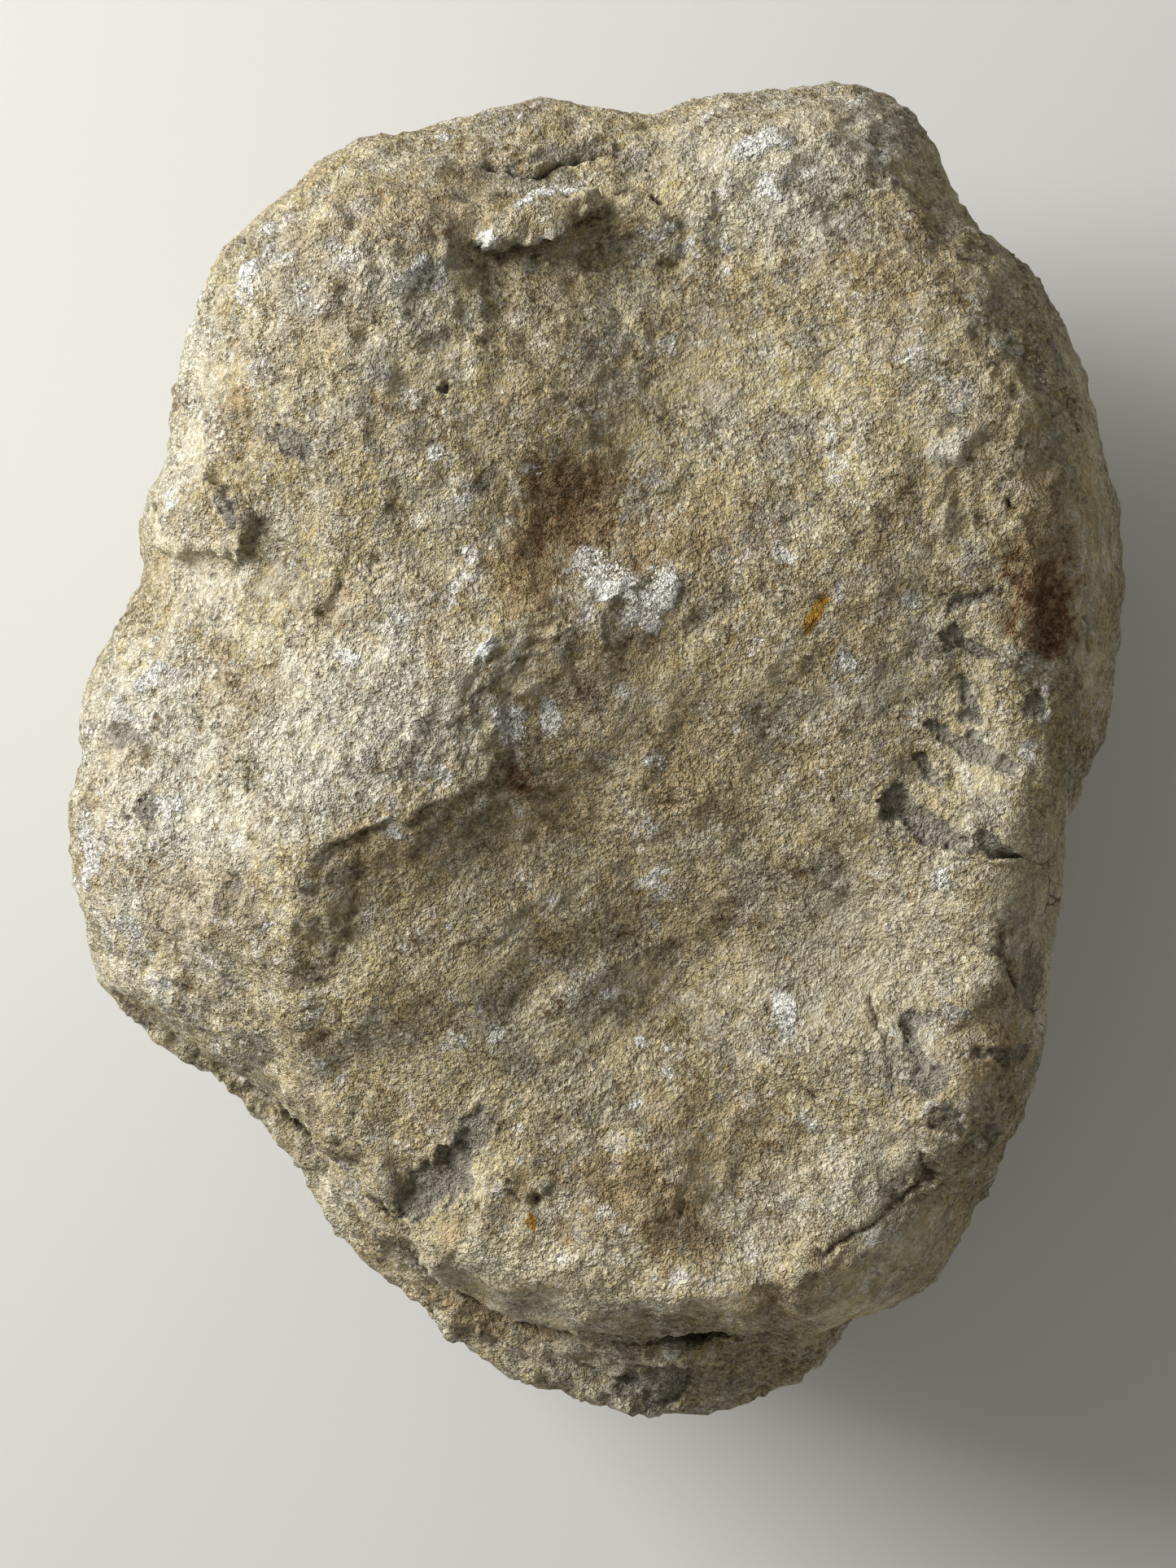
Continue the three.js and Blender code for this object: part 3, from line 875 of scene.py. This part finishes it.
def rind_patches(finish, noise, colours):
    """The rind's own colour, from the broad patches down to the specks."""
    warped, small, lot = noise.warped, noise.small, noise.lot
    broad = finish.mottle(noise.place, 22, 4, 0.6)
    blotch = finish.mottle(warped, 4, 4, 0.65)
    tint = finish.mottle(noise.turned, 0.9, 3, 0.65)
    speck_distance, speck = finish.crumbs(warped, 1.5)
    specks = speck.span(0.8, 0.86) * speck_distance.span(0.5, 0.2) * noise.middling.span(0.4, 0.6)
    layers = (
        (broad.span(0.42, 0.62), colours.tan),
        (0.8 * noise.middling.span(0.46, 0.62), colours.cream),
        (0.6 * blotch.span(0.5, 0.62), colours.ochre),
        (0.85 * finish.mottle(warped, 8, 5, 0.65).span(0.52, 0.6), colours.ash),
        (0.7 * blotch.span(0.46, 0.36), colours.chalk),
        # Painted highlight: what stands proud is made paler.
        (0.5 * finish.mask("proud"), colours.chalk),
        # Bleached rind, and painted highlight on the lit left side.
        (noise.bleach_and_highlight * (0.6 + 0.5 * small.span(0.35, 0.6)), colours.chalk),
        (0.6 * small.span(0.55, 0.7), colours.chalk),
        (0.35 * tint.span(0.52, 0.64), colours.ochre),
        (0.5 * tint.span(0.46, 0.34), colours.chalk),
        (0.4 * lot.span(0.8, 0.9), colours.chalk),
        (0.4 * lot.span(0.2, 0.1), colours.ash),
        (0.45 * finish.mottle(warped, 13, 4, 0.65).span(0.5, 0.66), colours.earth),
        # The hollow made more tan: partly its own colour, partly painted shade.
        (0.2 * noise.streaked, colours.tan),
        (0.8 * finish.mottle(warped, 6, 5, 0.7).span(0.58, 0.68), colours.quartz),
        (0.75 * specks, colours.flint),
    )
    return finish.layered(colours.cream, layers)


def rind_stains(finish, noise, colours, colour):
    """Scars, stains, quartz, and dirt with painted shade in the pits, cracks, gaps and pores, with ragged
    edges, laid over the rind's own colour.
    """
    stain = finish.mask("rust") * (1 + 3.2 * noise.ragged)
    flint = (finish.mask("flint") + 0.6 * noise.ragged).span(0.36, 0.5)
    # Dirt and painted shade in the pits, cracks, gaps, ledges' feet and sunken ground.
    soil_and_shade = (finish.mask("hollow") + 0.8 * (0.5 - noise.fine)).span(0.2, 1.0)
    layers = (
        (0.9 * flint, finish.shade(colours.flint, 0.6 + 0.8 * noise.small)),
        (0.75 * stain.span(0.08, 0.5), colours.earth),
        (stain.span(0.3, 1.1), colours.rust),
        ((finish.mask("amber") + noise.ragged).span(0.35, 0.8), colours.amber),
        (noise.quartz, colours.quartz),
        (0.85 * soil_and_shade, colours.soil_and_shade),
    )
    colour = finish.layered(colour, layers)
    # Painted shade and dirt in the pores: the colour is multiplied darker and browner there.
    return finish.blend(0.8 * noise.pores * (1 - 0.6 * noise.smooth), colour, colours.pore_shade_and_dirt, "MULTIPLY")


def rind_lightness(finish, noise):
    """How much lighter or darker the fine grain and the hairline cracks make the rind. The cracks show
    here and there, most of all where it is smooth."""
    grain = 1.7 * (noise.fine - 0.5) + (noise.fibres - 0.5) + 0.25 * (noise.lot - 0.5) - 0.2 * noise.gaps
    netting = finish.node(
        "ShaderNodeTexVoronoi",
        {"feature": "DISTANCE_TO_EDGE"},
        {"Vector": finish.warp(noise.place, 3, 4), "Scale": 1 / 9},
    )
    cracked = finish.mottle(noise.place, 10, 2).span(0.52, 0.6) * (0.15 + 0.85 * noise.smooth)
    return (1.07 + noise.gritty * grain) * (1 - 0.6 * (netting.span(0.014, 0.004) * cracked))


def rind_grain(finish, noise):
    """The heights of the grain finer than the mesh, in millimetres."""
    contour = finish.mottle(noise.warped, 4.5, 4, 0.6) * 9
    inside = contour.maths("FRACT", contour)
    crust = (inside.span(0, 0.16) - inside) * finish.mottle(noise.place, 12, 2).span(0.38, 0.5)
    grit = 0.35 * noise.small + 1.15 * noise.fine - 0.45 * noise.pores
    fibres = 0.5 * (noise.fibres * (0.5 + 0.5 * noise.streaked))
    return noise.gritty * grit + 0.55 * crust + 0.35 * noise.quartz + fibres


def rind_finish(colours):
    """The dry, chalky, granular rind with its stains, scars and quartz."""
    finish = Finish("chalky rind")
    noise = RindNoise(finish)
    colour = rind_stains(finish, noise, colours, rind_patches(finish, noise, colours))
    finish.set(Base_Color=finish.shade(colour, rind_lightness(finish, noise)))
    height = rind_grain(finish, noise)
    bump = finish.node("ShaderNodeBump", {}, {"Strength": 1.0, "Distance": MM, "Height": height})
    finish.set(Normal=bump, Roughness=0.95 - 0.35 * noise.quartz, Specular_IOR_Level=0.2)
    return finish.material


def quartz_finish(colours):
    """White, sugary quartz."""
    finish = Finish("white quartz")
    place = finish.millimetres()
    cloud = finish.mottle(place, 1.6, 2, 0.6)
    colour = finish.blend(cloud.span(0.4, 0.7), colours.quartz, colours.chalk)
    frost = finish.mottle(place, 0.25, 2, 0.6)
    bump = finish.node("ShaderNodeBump", {}, {"Strength": 0.6, "Distance": 0.1 * MM, "Height": frost})
    finish.set(Base_Color=colour, Roughness=0.25 + 0.4 * cloud, Normal=bump)
    finish.set(Specular_IOR_Level=0.5)
    return finish.material


def plain_finish(name, colour, roughness):
    finish = Finish(name)
    finish.set(Base_Color=tuple(colour), Roughness=roughness)
    return finish.material


# ---- Pieces ----


def link(name, mesh, material=None):
    piece = bpy.data.objects.new(name, mesh)
    bpy.context.scene.collection.objects.link(piece)
    if material:
        mesh.materials.append(material)
    return piece


def applied(piece):
    """The mesh that a piece's modifiers make."""
    made = piece.evaluated_get(bpy.context.evaluated_depsgraph_get())
    mesh = bpy.data.meshes.new_from_object(made)
    piece.modifiers.clear()
    piece.data = mesh
    return mesh


def sway(points, grain):
    """Points moved about a little, so that what is laid out by them gets a natural, wandering edge."""
    return points + 1.1 * np.stack([grain.rough(points + 50 * i, 5, 3) for i in range(3)], axis=1)


def near_features(points, grain):
    """True where a point lies by a crack, a sharp ledge, a hole or a chip's edge."""
    plan = sway(points, grain)[:, :2]
    near = np.zeros(len(points), bool)
    for line in CRACKS + [ledge for ledge in LEDGES if ledge["edge"] < 0.7]:
        away, past = off_path(plan, line["path"])
        near |= (np.abs(away) < 0.6) & (past < 1)
    for hole in HOLES:
        near |= np.linalg.norm(plan - np.array(hole["at"]), axis=1) < 1.6 * hole["radius"]
    for chip in CHIPS:
        near |= np.abs(in_ellipse(plan, chip) - 1) * min(chip["size"]) < 0.3
    away, past = off_path(plan, SLAB_EDGE)
    near |= (np.abs(away - 0.7) < 0.8) & (past < 1)
    return near & (points[:, 2] > 30)


def by_slab_edge(points):
    """True where a point lies by the broken edge of the upper bed."""
    away, past = off_path(points[:, :2], SLAB_EDGE)
    return (np.abs(away - 1) < 4) & (past < 4) & (points[:, 2] > 36)


def refine(work, wanted):
    """Halves the mesh's spacing where wanted holds for the faces' middles and normals."""
    faces = list(work.faces)
    middles = np.array([face.calc_center_median() for face in faces]) / MM
    normals = np.array([face.normal for face in faces])
    chosen = wanted(middles, normals)
    edges = list({edge for face, yes in zip(faces, chosen) if yes for edge in face.edges})
    bmesh.ops.subdivide_edges(work, edges=edges, cuts=1, use_grid_fill=True)
    bmesh.ops.triangulate(work, faces=[f for f in work.faces if len(f.verts) > 4])
    work.normal_update()


def fine_mesh(piece, spacing):
    """Gives the stone an even mesh: coarse underneath, finer on the flanks and the face, and finest by the
    small features."""
    rounding = piece.modifiers.new("Rounding", "SUBSURF")
    rounding.levels = rounding.render_levels = 2
    surface = BVHTree.FromObject(piece, bpy.context.evaluated_depsgraph_get())
    evening = piece.modifiers.new("Evening", "REMESH")
    evening.mode = "VOXEL"
    evening.voxel_size = spacing
    mesh = applied(piece)
    grain = Grain(GRAIN_SEED)
    work = bmesh.new()
    work.from_mesh(mesh)
    work.normal_update()
    refine(work, lambda middles, normals: normals[:, 2] > FLANK_SLOPE)
    refine(work, lambda middles, normals: (normals[:, 2] > FACE_SLOPE) | by_slab_edge(middles))
    refine(work, lambda middles, normals: near_features(middles, grain) & (normals[:, 2] > 0))
    for vertex in work.verts:
        vertex.co = surface.find_nearest(vertex.co)[0]
    work.to_mesh(mesh)
    work.free()
    return mesh


class Ground:
    """The stone's surface as the carving finds it, in millimetres, and what has been carved so far:
    the height gained, how much shade is painted where the ground is broken open (in cracks, pits, gaps and
    at the feet of ledges), and where the grey stone is bare."""

    def __init__(self, carving):
        self.grain = Grain(GRAIN_SEED)
        self.points = carving.points.copy()
        self.plan = self.points[:, :2]
        self.normals = carving.normals()
        self.upward = step(self.normals[:, 2], 0.0, 0.35) * step(self.points[:, 2], 26, 36)
        self.swayed = sway(self.points, self.grain)
        self.swayed_plan = self.swayed[:, :2]
        self.ragged = 0.35 * self.grain.rough(self.points, 2.2, 3, 0.6)
        self.zones = {name: patches(self.plan, listed) * self.upward for name, listed in ZONES.items()}
        self.height = np.zeros(len(self.points))
        self.broken = np.zeros(len(self.points))
        self.flint = np.zeros(len(self.points))

    def stains(self):
        return {
            name: patches(self.swayed_plan, listed, 1.7 * self.ragged) * self.upward
            for name, listed in STAINS.items()
        }


def carve_lumps(ground, relief):
    """The rind's uneven lumps, the low edges of its crusts, and the round knobs."""
    grain, points, zones = ground.grain, ground.points, ground.zones
    lumps = grain.rough(points, 9, 4, 0.55) * (1 - 0.5 * zones["smooth"]) * (1 + 0.5 * zones["lumpy"])
    lumps *= 1 - 0.45 * zones["streaked"]
    ground.height += relief.lump_height / MM * lumps
    uneven = (1 - 0.4 * zones["smooth"]) * (1 - 0.65 * zones["even"]) * (1 - 0.55 * zones["streaked"])
    ground.height += 0.42 * grain.rough(points + 70, 3.4, 3, 0.6) * uneven
    levels = 2.4 * grain.rough(points + 700, 8, 3, 0.55)
    inside = levels - np.floor(levels)
    plated = step(grain.swell(points + 300, 17), -0.2, 0.25) * (1 - 0.6 * zones["streaked"])
    ground.height += relief.plate_height / MM * (step(inside, 0, 0.16) - inside) * plated * uneven
    for share in KNOB_SHARES:
        near, _, rank = grain.cells(ground.swayed + 40 * share, share * relief.knob_size / MM)
        knobs = step(-near, -0.62, -0.05) * (0.5 + 0.5 * rank)
        ground.height += relief.knob_height / MM * share * knobs * zones["lumpy"]


def carve_ledges(ground):
    for ledge in LEDGES:
        away, past = off_path(ground.swayed_plan, ledge["path"])
        fade = bell(past, 2.5) * ground.upward
        low = step(away + 0.6 * ground.ragged, -ledge["edge"], ledge["edge"])
        ground.height -= ledge["drop"] * low * bell(away, ledge["reach"]) * fade
        ground.height += ledge["lip"] * (1 - low) * bell(away, 1.6) * fade
        # Painted shade along the foot of the ledge.
        ground.broken += 0.4 * ledge["drop"] / ledge["edge"] * bell(away - 0.4, 0.7) * fade


def carve_forms(ground):
    """The creases, the broad swells and the single lumps."""
    for crease in CREASES:
        away, past = off_path(ground.plan + 0.5 * (ground.swayed_plan - ground.plan), crease["path"])
        beyond = np.maximum(away, 0) / crease["reach"]
        ridge = crease["lip"] * np.exp(-np.abs(away) / 2.2)
        fall = crease["drop"] * beyond * np.exp(1 - beyond)
        ground.height += (ridge - fall) * bell(past, 4) * ground.upward
    for swell in SWELLS:
        ground.height += swell["height"] * bell(in_ellipse(ground.plan, swell), 1) * ground.upward
    for lump in LUMPS:
        reach = in_ellipse(ground.swayed_plan, lump) + 0.9 * ground.ragged
        ground.height += lump["height"] * (1 - step(reach, 0.6, 1.1)) * ground.upward


def carve_chips(ground):
    """Where the rind has flaked off, with a low lip round each place."""
    for chip in CHIPS:
        reach = in_ellipse(ground.swayed_plan, chip) + 1.3 * ground.ragged
        bare = (1 - step(reach, 0.92, 1.12)) * step(ground.normals[:, 2], -0.1, 0.2)
        ground.height -= chip["depth"] * bare
        ground.height += 0.15 * bell(reach - 1.3, 0.22) * (1 - bare)
        ground.flint = np.maximum(ground.flint, bare * 2.6 * chip["depth"])


def carve_cracks(ground):
    """The hairline cracks and the single deep pits."""
    for crack in CRACKS:
        away, past = off_path(ground.swayed_plan, crack["path"])
        gap = bell(away, crack["width"]) * bell(past, 0.5) * step(ground.normals[:, 2], -0.1, 0.2)
        ground.height -= crack["depth"] * gap
        # Dirt and painted shade in the crack.
        ground.broken += 1.7 * gap
    for hole in HOLES:
        reach = np.linalg.norm(ground.swayed_plan - np.array(hole["at"]), axis=1) / hole["radius"]
        ground.height -= hole["depth"] * bell(reach, 1) * ground.upward
        # Painted shade in the pit.
        ground.broken += bell(reach, 1) * ground.upward


def carve_grain(ground, relief):
    """The pits and grains all over, and the slanting streaks."""
    grain, points, zones = ground.grain, ground.points, ground.zones
    pitted = step(grain.swell(points + 90, 13), -0.35, 0.35) * (1 - 0.6 * zones["even"])
    pits = step(-grain.rough(points + 400, relief.pit_spacing / MM, 2, 0.6), 0.2, 0.75) * pitted
    rough = (1 - 0.75 * zones["smooth"]) * (1 - 0.5 * zones["streaked"])
    ground.height -= relief.pit_depth / MM * pits * rough
    ground.height += 0.24 * grain.rough(points, 1.9, 2, 0.7) * rough
    near, _, rank = grain.cells(points, 1.25)
    ground.height += 0.22 * step(-near, -0.6, -0.1) * rank * rough
    slant = math.radians(STREAK_SLANT)
    along = ground.plan @ np.array((math.cos(slant), math.sin(slant)))
    across = ground.plan @ np.array((-math.sin(slant), math.cos(slant)))
    fibres = grain.rough(np.stack([along / 4.5, across, points[:, 2]], axis=1), 1.3, 2, 0.6)
    ground.height += relief.streak_height / MM * fibres * (0.35 + zones["streaked"])


def carve_lower_bed(ground, relief):
    """The lower bed with its thin layers, and the undercut of the upper bed's broken edge. Returns how far
    the gap between the beds is open."""
    grain, points, ragged = ground.grain, ground.points, ground.ragged
    upness = ground.normals[:, 2]
    away, past = off_path(ground.plan + 0.6 * (ground.swayed_plan - ground.plan), SLAB_EDGE)
    foot = step(away, -1, 2) * bell(past, 6) * step(upness, -0.9, -0.3)
    layers = grain.rough(ground.swayed * np.array((0.14, 0.14, 1)) + 20, 2.6, 3, 0.65)
    knolls = grain.rough(points + 11, 4, 3, 0.6) * step(upness, -0.1, 0.4)
    ground.height += foot * (relief.layer_height / MM * layers + 0.6 * knolls)
    overhang = bell(past, 4) * step(upness, -0.2, 0.15) * (0.6 + 0.9 * grain.swell(points + 5, 9))
    overhang *= step(points[:, 2], 33, 39) * step(-points[:, 0], -31, -24)
    ground.height += 0.6 * bell(away + 0.6, 1.2) * overhang
    opening = step(away + ragged, 0.1, 0.6) * step(-away, -2.2, -1.2) * overhang
    # Painted shadow in the gap under the upper bed's edge.
    ground.broken += 1.8 * opening
    # Painted shade between the lower bed's layers.
    ground.broken += 0.7 * foot * step(-layers, 0.1, 0.7)
    wall = step(0.8 - upness, 0, 0.3) * bell(away - 1.4, 2) * bell(past, 4)
    low_wall = wall * step(-points[:, 2], -54, -45) * step(points[:, 2], 34, 40)
    ground.height -= relief.undercut / MM * low_wall * (0.7 + 0.6 * grain.swell(points, 7))
    # Painted shade on the undercut wall.
    ground.broken += 1.5 * low_wall
    return opening


def fit_to_solid(points):
    """Stretches the heights so that the top comes near the solid's, and keeps all within its box."""
    low, high = np.array(CAD_LOW) / MM, np.array(CAD_HIGH) / MM
    points[:, 2] *= (high[2] - CRYSTAL_ROOM) / points[:, 2].max()
    return np.clip(points, low, high)


def carve_stone(mesh, relief):
    """Carves the features and the finer relief into the fine mesh, and marks its zones, its stains, and where
    shade and highlight are painted.
    """
    carving = Carving(mesh)
    carving.points = carving.even(carving.points, EVENING_ROUNDS)
    ground = Ground(carving)
    carve_lumps(ground, relief)
    carve_ledges(ground)
    carve_forms(ground)
    carve_chips(ground)
    carve_cracks(ground)
    carve_grain(ground, relief)
    opening = carve_lower_bed(ground, relief)

    # The flat that the stone rests on stays as it is.
    resting = step(-ground.normals[:, 2], 0.85, 0.97) * step(-ground.points[:, 2], -1.6, -0.4)
    height = (ground.height - SETTLING) * (1 - resting)
    proud = height - carving.even(height, PROUD_ROUNDS)
    carving.raise_by(height)
    carving.points[:, 2] -= relief.gap_depth / MM * opening
    carving.points = fit_to_solid(carving.points)

    # Painted shade in the ground that lies lower than the ground round it.
    sunk_shade = 0.3 * step(-proud, 0.25, 1.0) * (1 - 0.6 * ground.zones["lumpy"])
    carving.masks = {
        **ground.stains(),
        "smooth": ground.zones["smooth"],
        "streaked": ground.zones["streaked"],
        # Where dirt and painted shade go: sunken ground, cracks, pits, gaps and ledges' feet.
        "hollow": (sunk_shade + 0.5 * ground.broken) * (1 - 0.9 * ground.flint),
        "flint": ground.flint,
        "eaten": step(ground.grain.rough(ground.points + 500, 5, 3, 0.6), -0.3, 0.3),
        # Where the painted highlight goes: what stands proud of the ground round it.
        "proud": step(proud, 0.1, 0.8),
    }
    carving.save()


class GeodeOperator:
    bl_options = {"REGISTER", "UNDO"}


class GEODE_OT_make_stone(GeodeOperator, bpy.types.Operator):
    """Builds the stone with its carved rind"""

    bl_idname = "geode.make_stone"
    bl_label = "Make the stone"

    def execute(self, context):
        scene = context.scene
        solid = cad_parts["geode"]
        mesh = solid.data.copy()
        work = bmesh.new()
        work.from_mesh(mesh)
        bmesh.ops.remove_doubles(work, verts=work.verts, dist=0.00001)
        work.to_mesh(mesh)
        work.free()
        mesh.materials.clear()
        stone = link("stone", mesh)
        mesh = fine_mesh(stone, scene.geode_relief.spacing)
        carve_stone(mesh, scene.geode_relief)
        mesh.materials.append(rind_finish(scene.geode_colours))
        mesh.shade_smooth()
        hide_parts("geode")
        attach(stone, "root")
        return {"FINISHED"}


class GEODE_OT_make_crystals(GeodeOperator, bpy.types.Operator):
    """Sets quartz grains into the rind's white patches"""

    bl_idname = "geode.make_crystals"
    bl_label = "Make the quartz crystals"

    def execute(self, context):
        relief = context.scene.geode_relief
        stone = bpy.data.objects["stone"]
        ground = BVHTree.FromObject(stone, context.evaluated_depsgraph_get())
        random = np.random.default_rng(CRYSTAL_SEED)
        listed = STAINS["quartz"]
        areas = np.array([p["size"][0] * p["size"][1] * p["strength"] ** 2 for p in listed])
        work = bmesh.new()
        for chosen in random.choice(len(listed), relief.crystal_count, p=areas / areas.sum()):
            patch = listed[chosen]
            length, width = patch["size"]
            bearing = random.uniform(0, 2 * math.pi)
            out = math.sqrt(random.random()) * random.uniform(0.5, 1.0)
            place = Vector((out * length * math.cos(bearing), out * width * math.sin(bearing)))
            place.rotate(Matrix.Rotation(math.radians(patch["turn"]), 2))
            over = Vector(((patch["at"][0] + place.x) * MM, (patch["at"][1] + place.y) * MM, 0.1))
            spot, normal, _, _ = ground.ray_cast(over, Vector((0, 0, -1)))
            if spot is None:
                continue
            size = relief.crystal_size * random.uniform(0.3, 0.62)
            tilt = Euler(random.uniform(-math.pi, math.pi, 3)).to_matrix().to_4x4()
            stretch = Matrix.Diagonal((*(size * random.uniform(0.65, 1.25, 3)), 1))
            seat = Matrix.Translation(spot - normal * size * 0.6)
            bmesh.ops.create_icosphere(work, subdivisions=1, radius=1, matrix=seat @ tilt @ stretch)
        mesh = bpy.data.meshes.new("crystals")
        work.to_mesh(mesh)
        work.free()
        crystals = link("quartz_crystals", mesh, quartz_finish(context.scene.geode_colours))
        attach(crystals, "root")
        return {"FINISHED"}


class GEODE_OT_make_studio(GeodeOperator, bpy.types.Operator):
    """Lays the pale floor, hangs the lights and sets up the camera"""

    bl_idname = "geode.make_studio"
    bl_label = "Make the studio"

    def execute(self, context):
        studio = context.scene.geode_studio
        scene = context.scene
        work = bmesh.new()
        bmesh.ops.create_grid(work, x_segments=1, y_segments=1, size=studio.floor_size / 2)
        bmesh.ops.translate(work, verts=work.verts, vec=(0, 0, -FLOOR_DROP))
        mesh = bpy.data.meshes.new("floor")
        work.to_mesh(mesh)
        work.free()
        floor = link("floor", mesh, plain_finish("pale floor", studio.floor_colour, 0.8))

        self.add_light("window", WINDOW_PLACE, WINDOW_SIZE, studio.window_power, WINDOW_TINT)

        world = bpy.data.worlds.new("studio")
        world.use_nodes = True
        background = world.node_tree.nodes["Background"]
        background.inputs["Color"].default_value = FILL_TINT
        background.inputs["Strength"].default_value = studio.fill
        scene.world = world

        camera = bpy.data.objects.new("camera", bpy.data.cameras.new("camera"))
        camera.data.lens = studio.lens
        camera.data.clip_start = 0.01
        camera.location = (*CAMERA_PLACE, studio.camera_height)
        scene.collection.objects.link(camera)
        scene.camera = camera
        scene.view_settings.view_transform = "Standard"
        return {"FINISHED"}

    def add_light(self, name, place, size, power, colour):
        lamp = bpy.data.lights.new(name, "AREA")
        lamp.size = size
        lamp.energy = power
        lamp.color = colour
        light = bpy.data.objects.new(name, lamp)
        light.location = place
        aim = Vector(LIGHT_AIM) - light.location
        light.rotation_euler = aim.to_track_quat("-Z", "Y").to_euler()
        bpy.context.scene.collection.objects.link(light)


class GEODE_PT_panel(bpy.types.Panel):
    """Lists the geode's settings and the buttons that make its pieces"""

    bl_idname = "GEODE_PT_panel"
    bl_label = "Quartz geode"
    bl_space_type = "VIEW_3D"
    bl_region_type = "UI"
    bl_category = "Geode"

    def draw(self, context):
        layout = self.layout
        for settings in (
            context.scene.geode_relief,
            context.scene.geode_colours,
            context.scene.geode_studio,
        ):
            box = layout.box()
            for name in settings.__annotations__:
                box.prop(settings, name)
        for operator in OPERATORS:
            layout.operator(operator.bl_idname)


SETTINGS = {
    "geode_relief": GeodeRelief,
    "geode_colours": GeodeColours,
    "geode_studio": GeodeStudio,
}
OPERATORS = (GEODE_OT_make_stone, GEODE_OT_make_crystals, GEODE_OT_make_studio)
CLASSES = (*SETTINGS.values(), *OPERATORS, GEODE_PT_panel)


def register():
    for cls in CLASSES:
        bpy.utils.register_class(cls)
    for name, group in SETTINGS.items():
        setattr(bpy.types.Scene, name, PointerProperty(type=group))


def unregister():
    for name in SETTINGS:
        delattr(bpy.types.Scene, name)
    for cls in reversed(CLASSES):
        bpy.utils.unregister_class(cls)


def main():
    register()
    bpy.ops.geode.make_stone()
    bpy.ops.geode.make_crystals()
    bpy.ops.geode.make_studio()


if __name__ == "__main__":
    main()
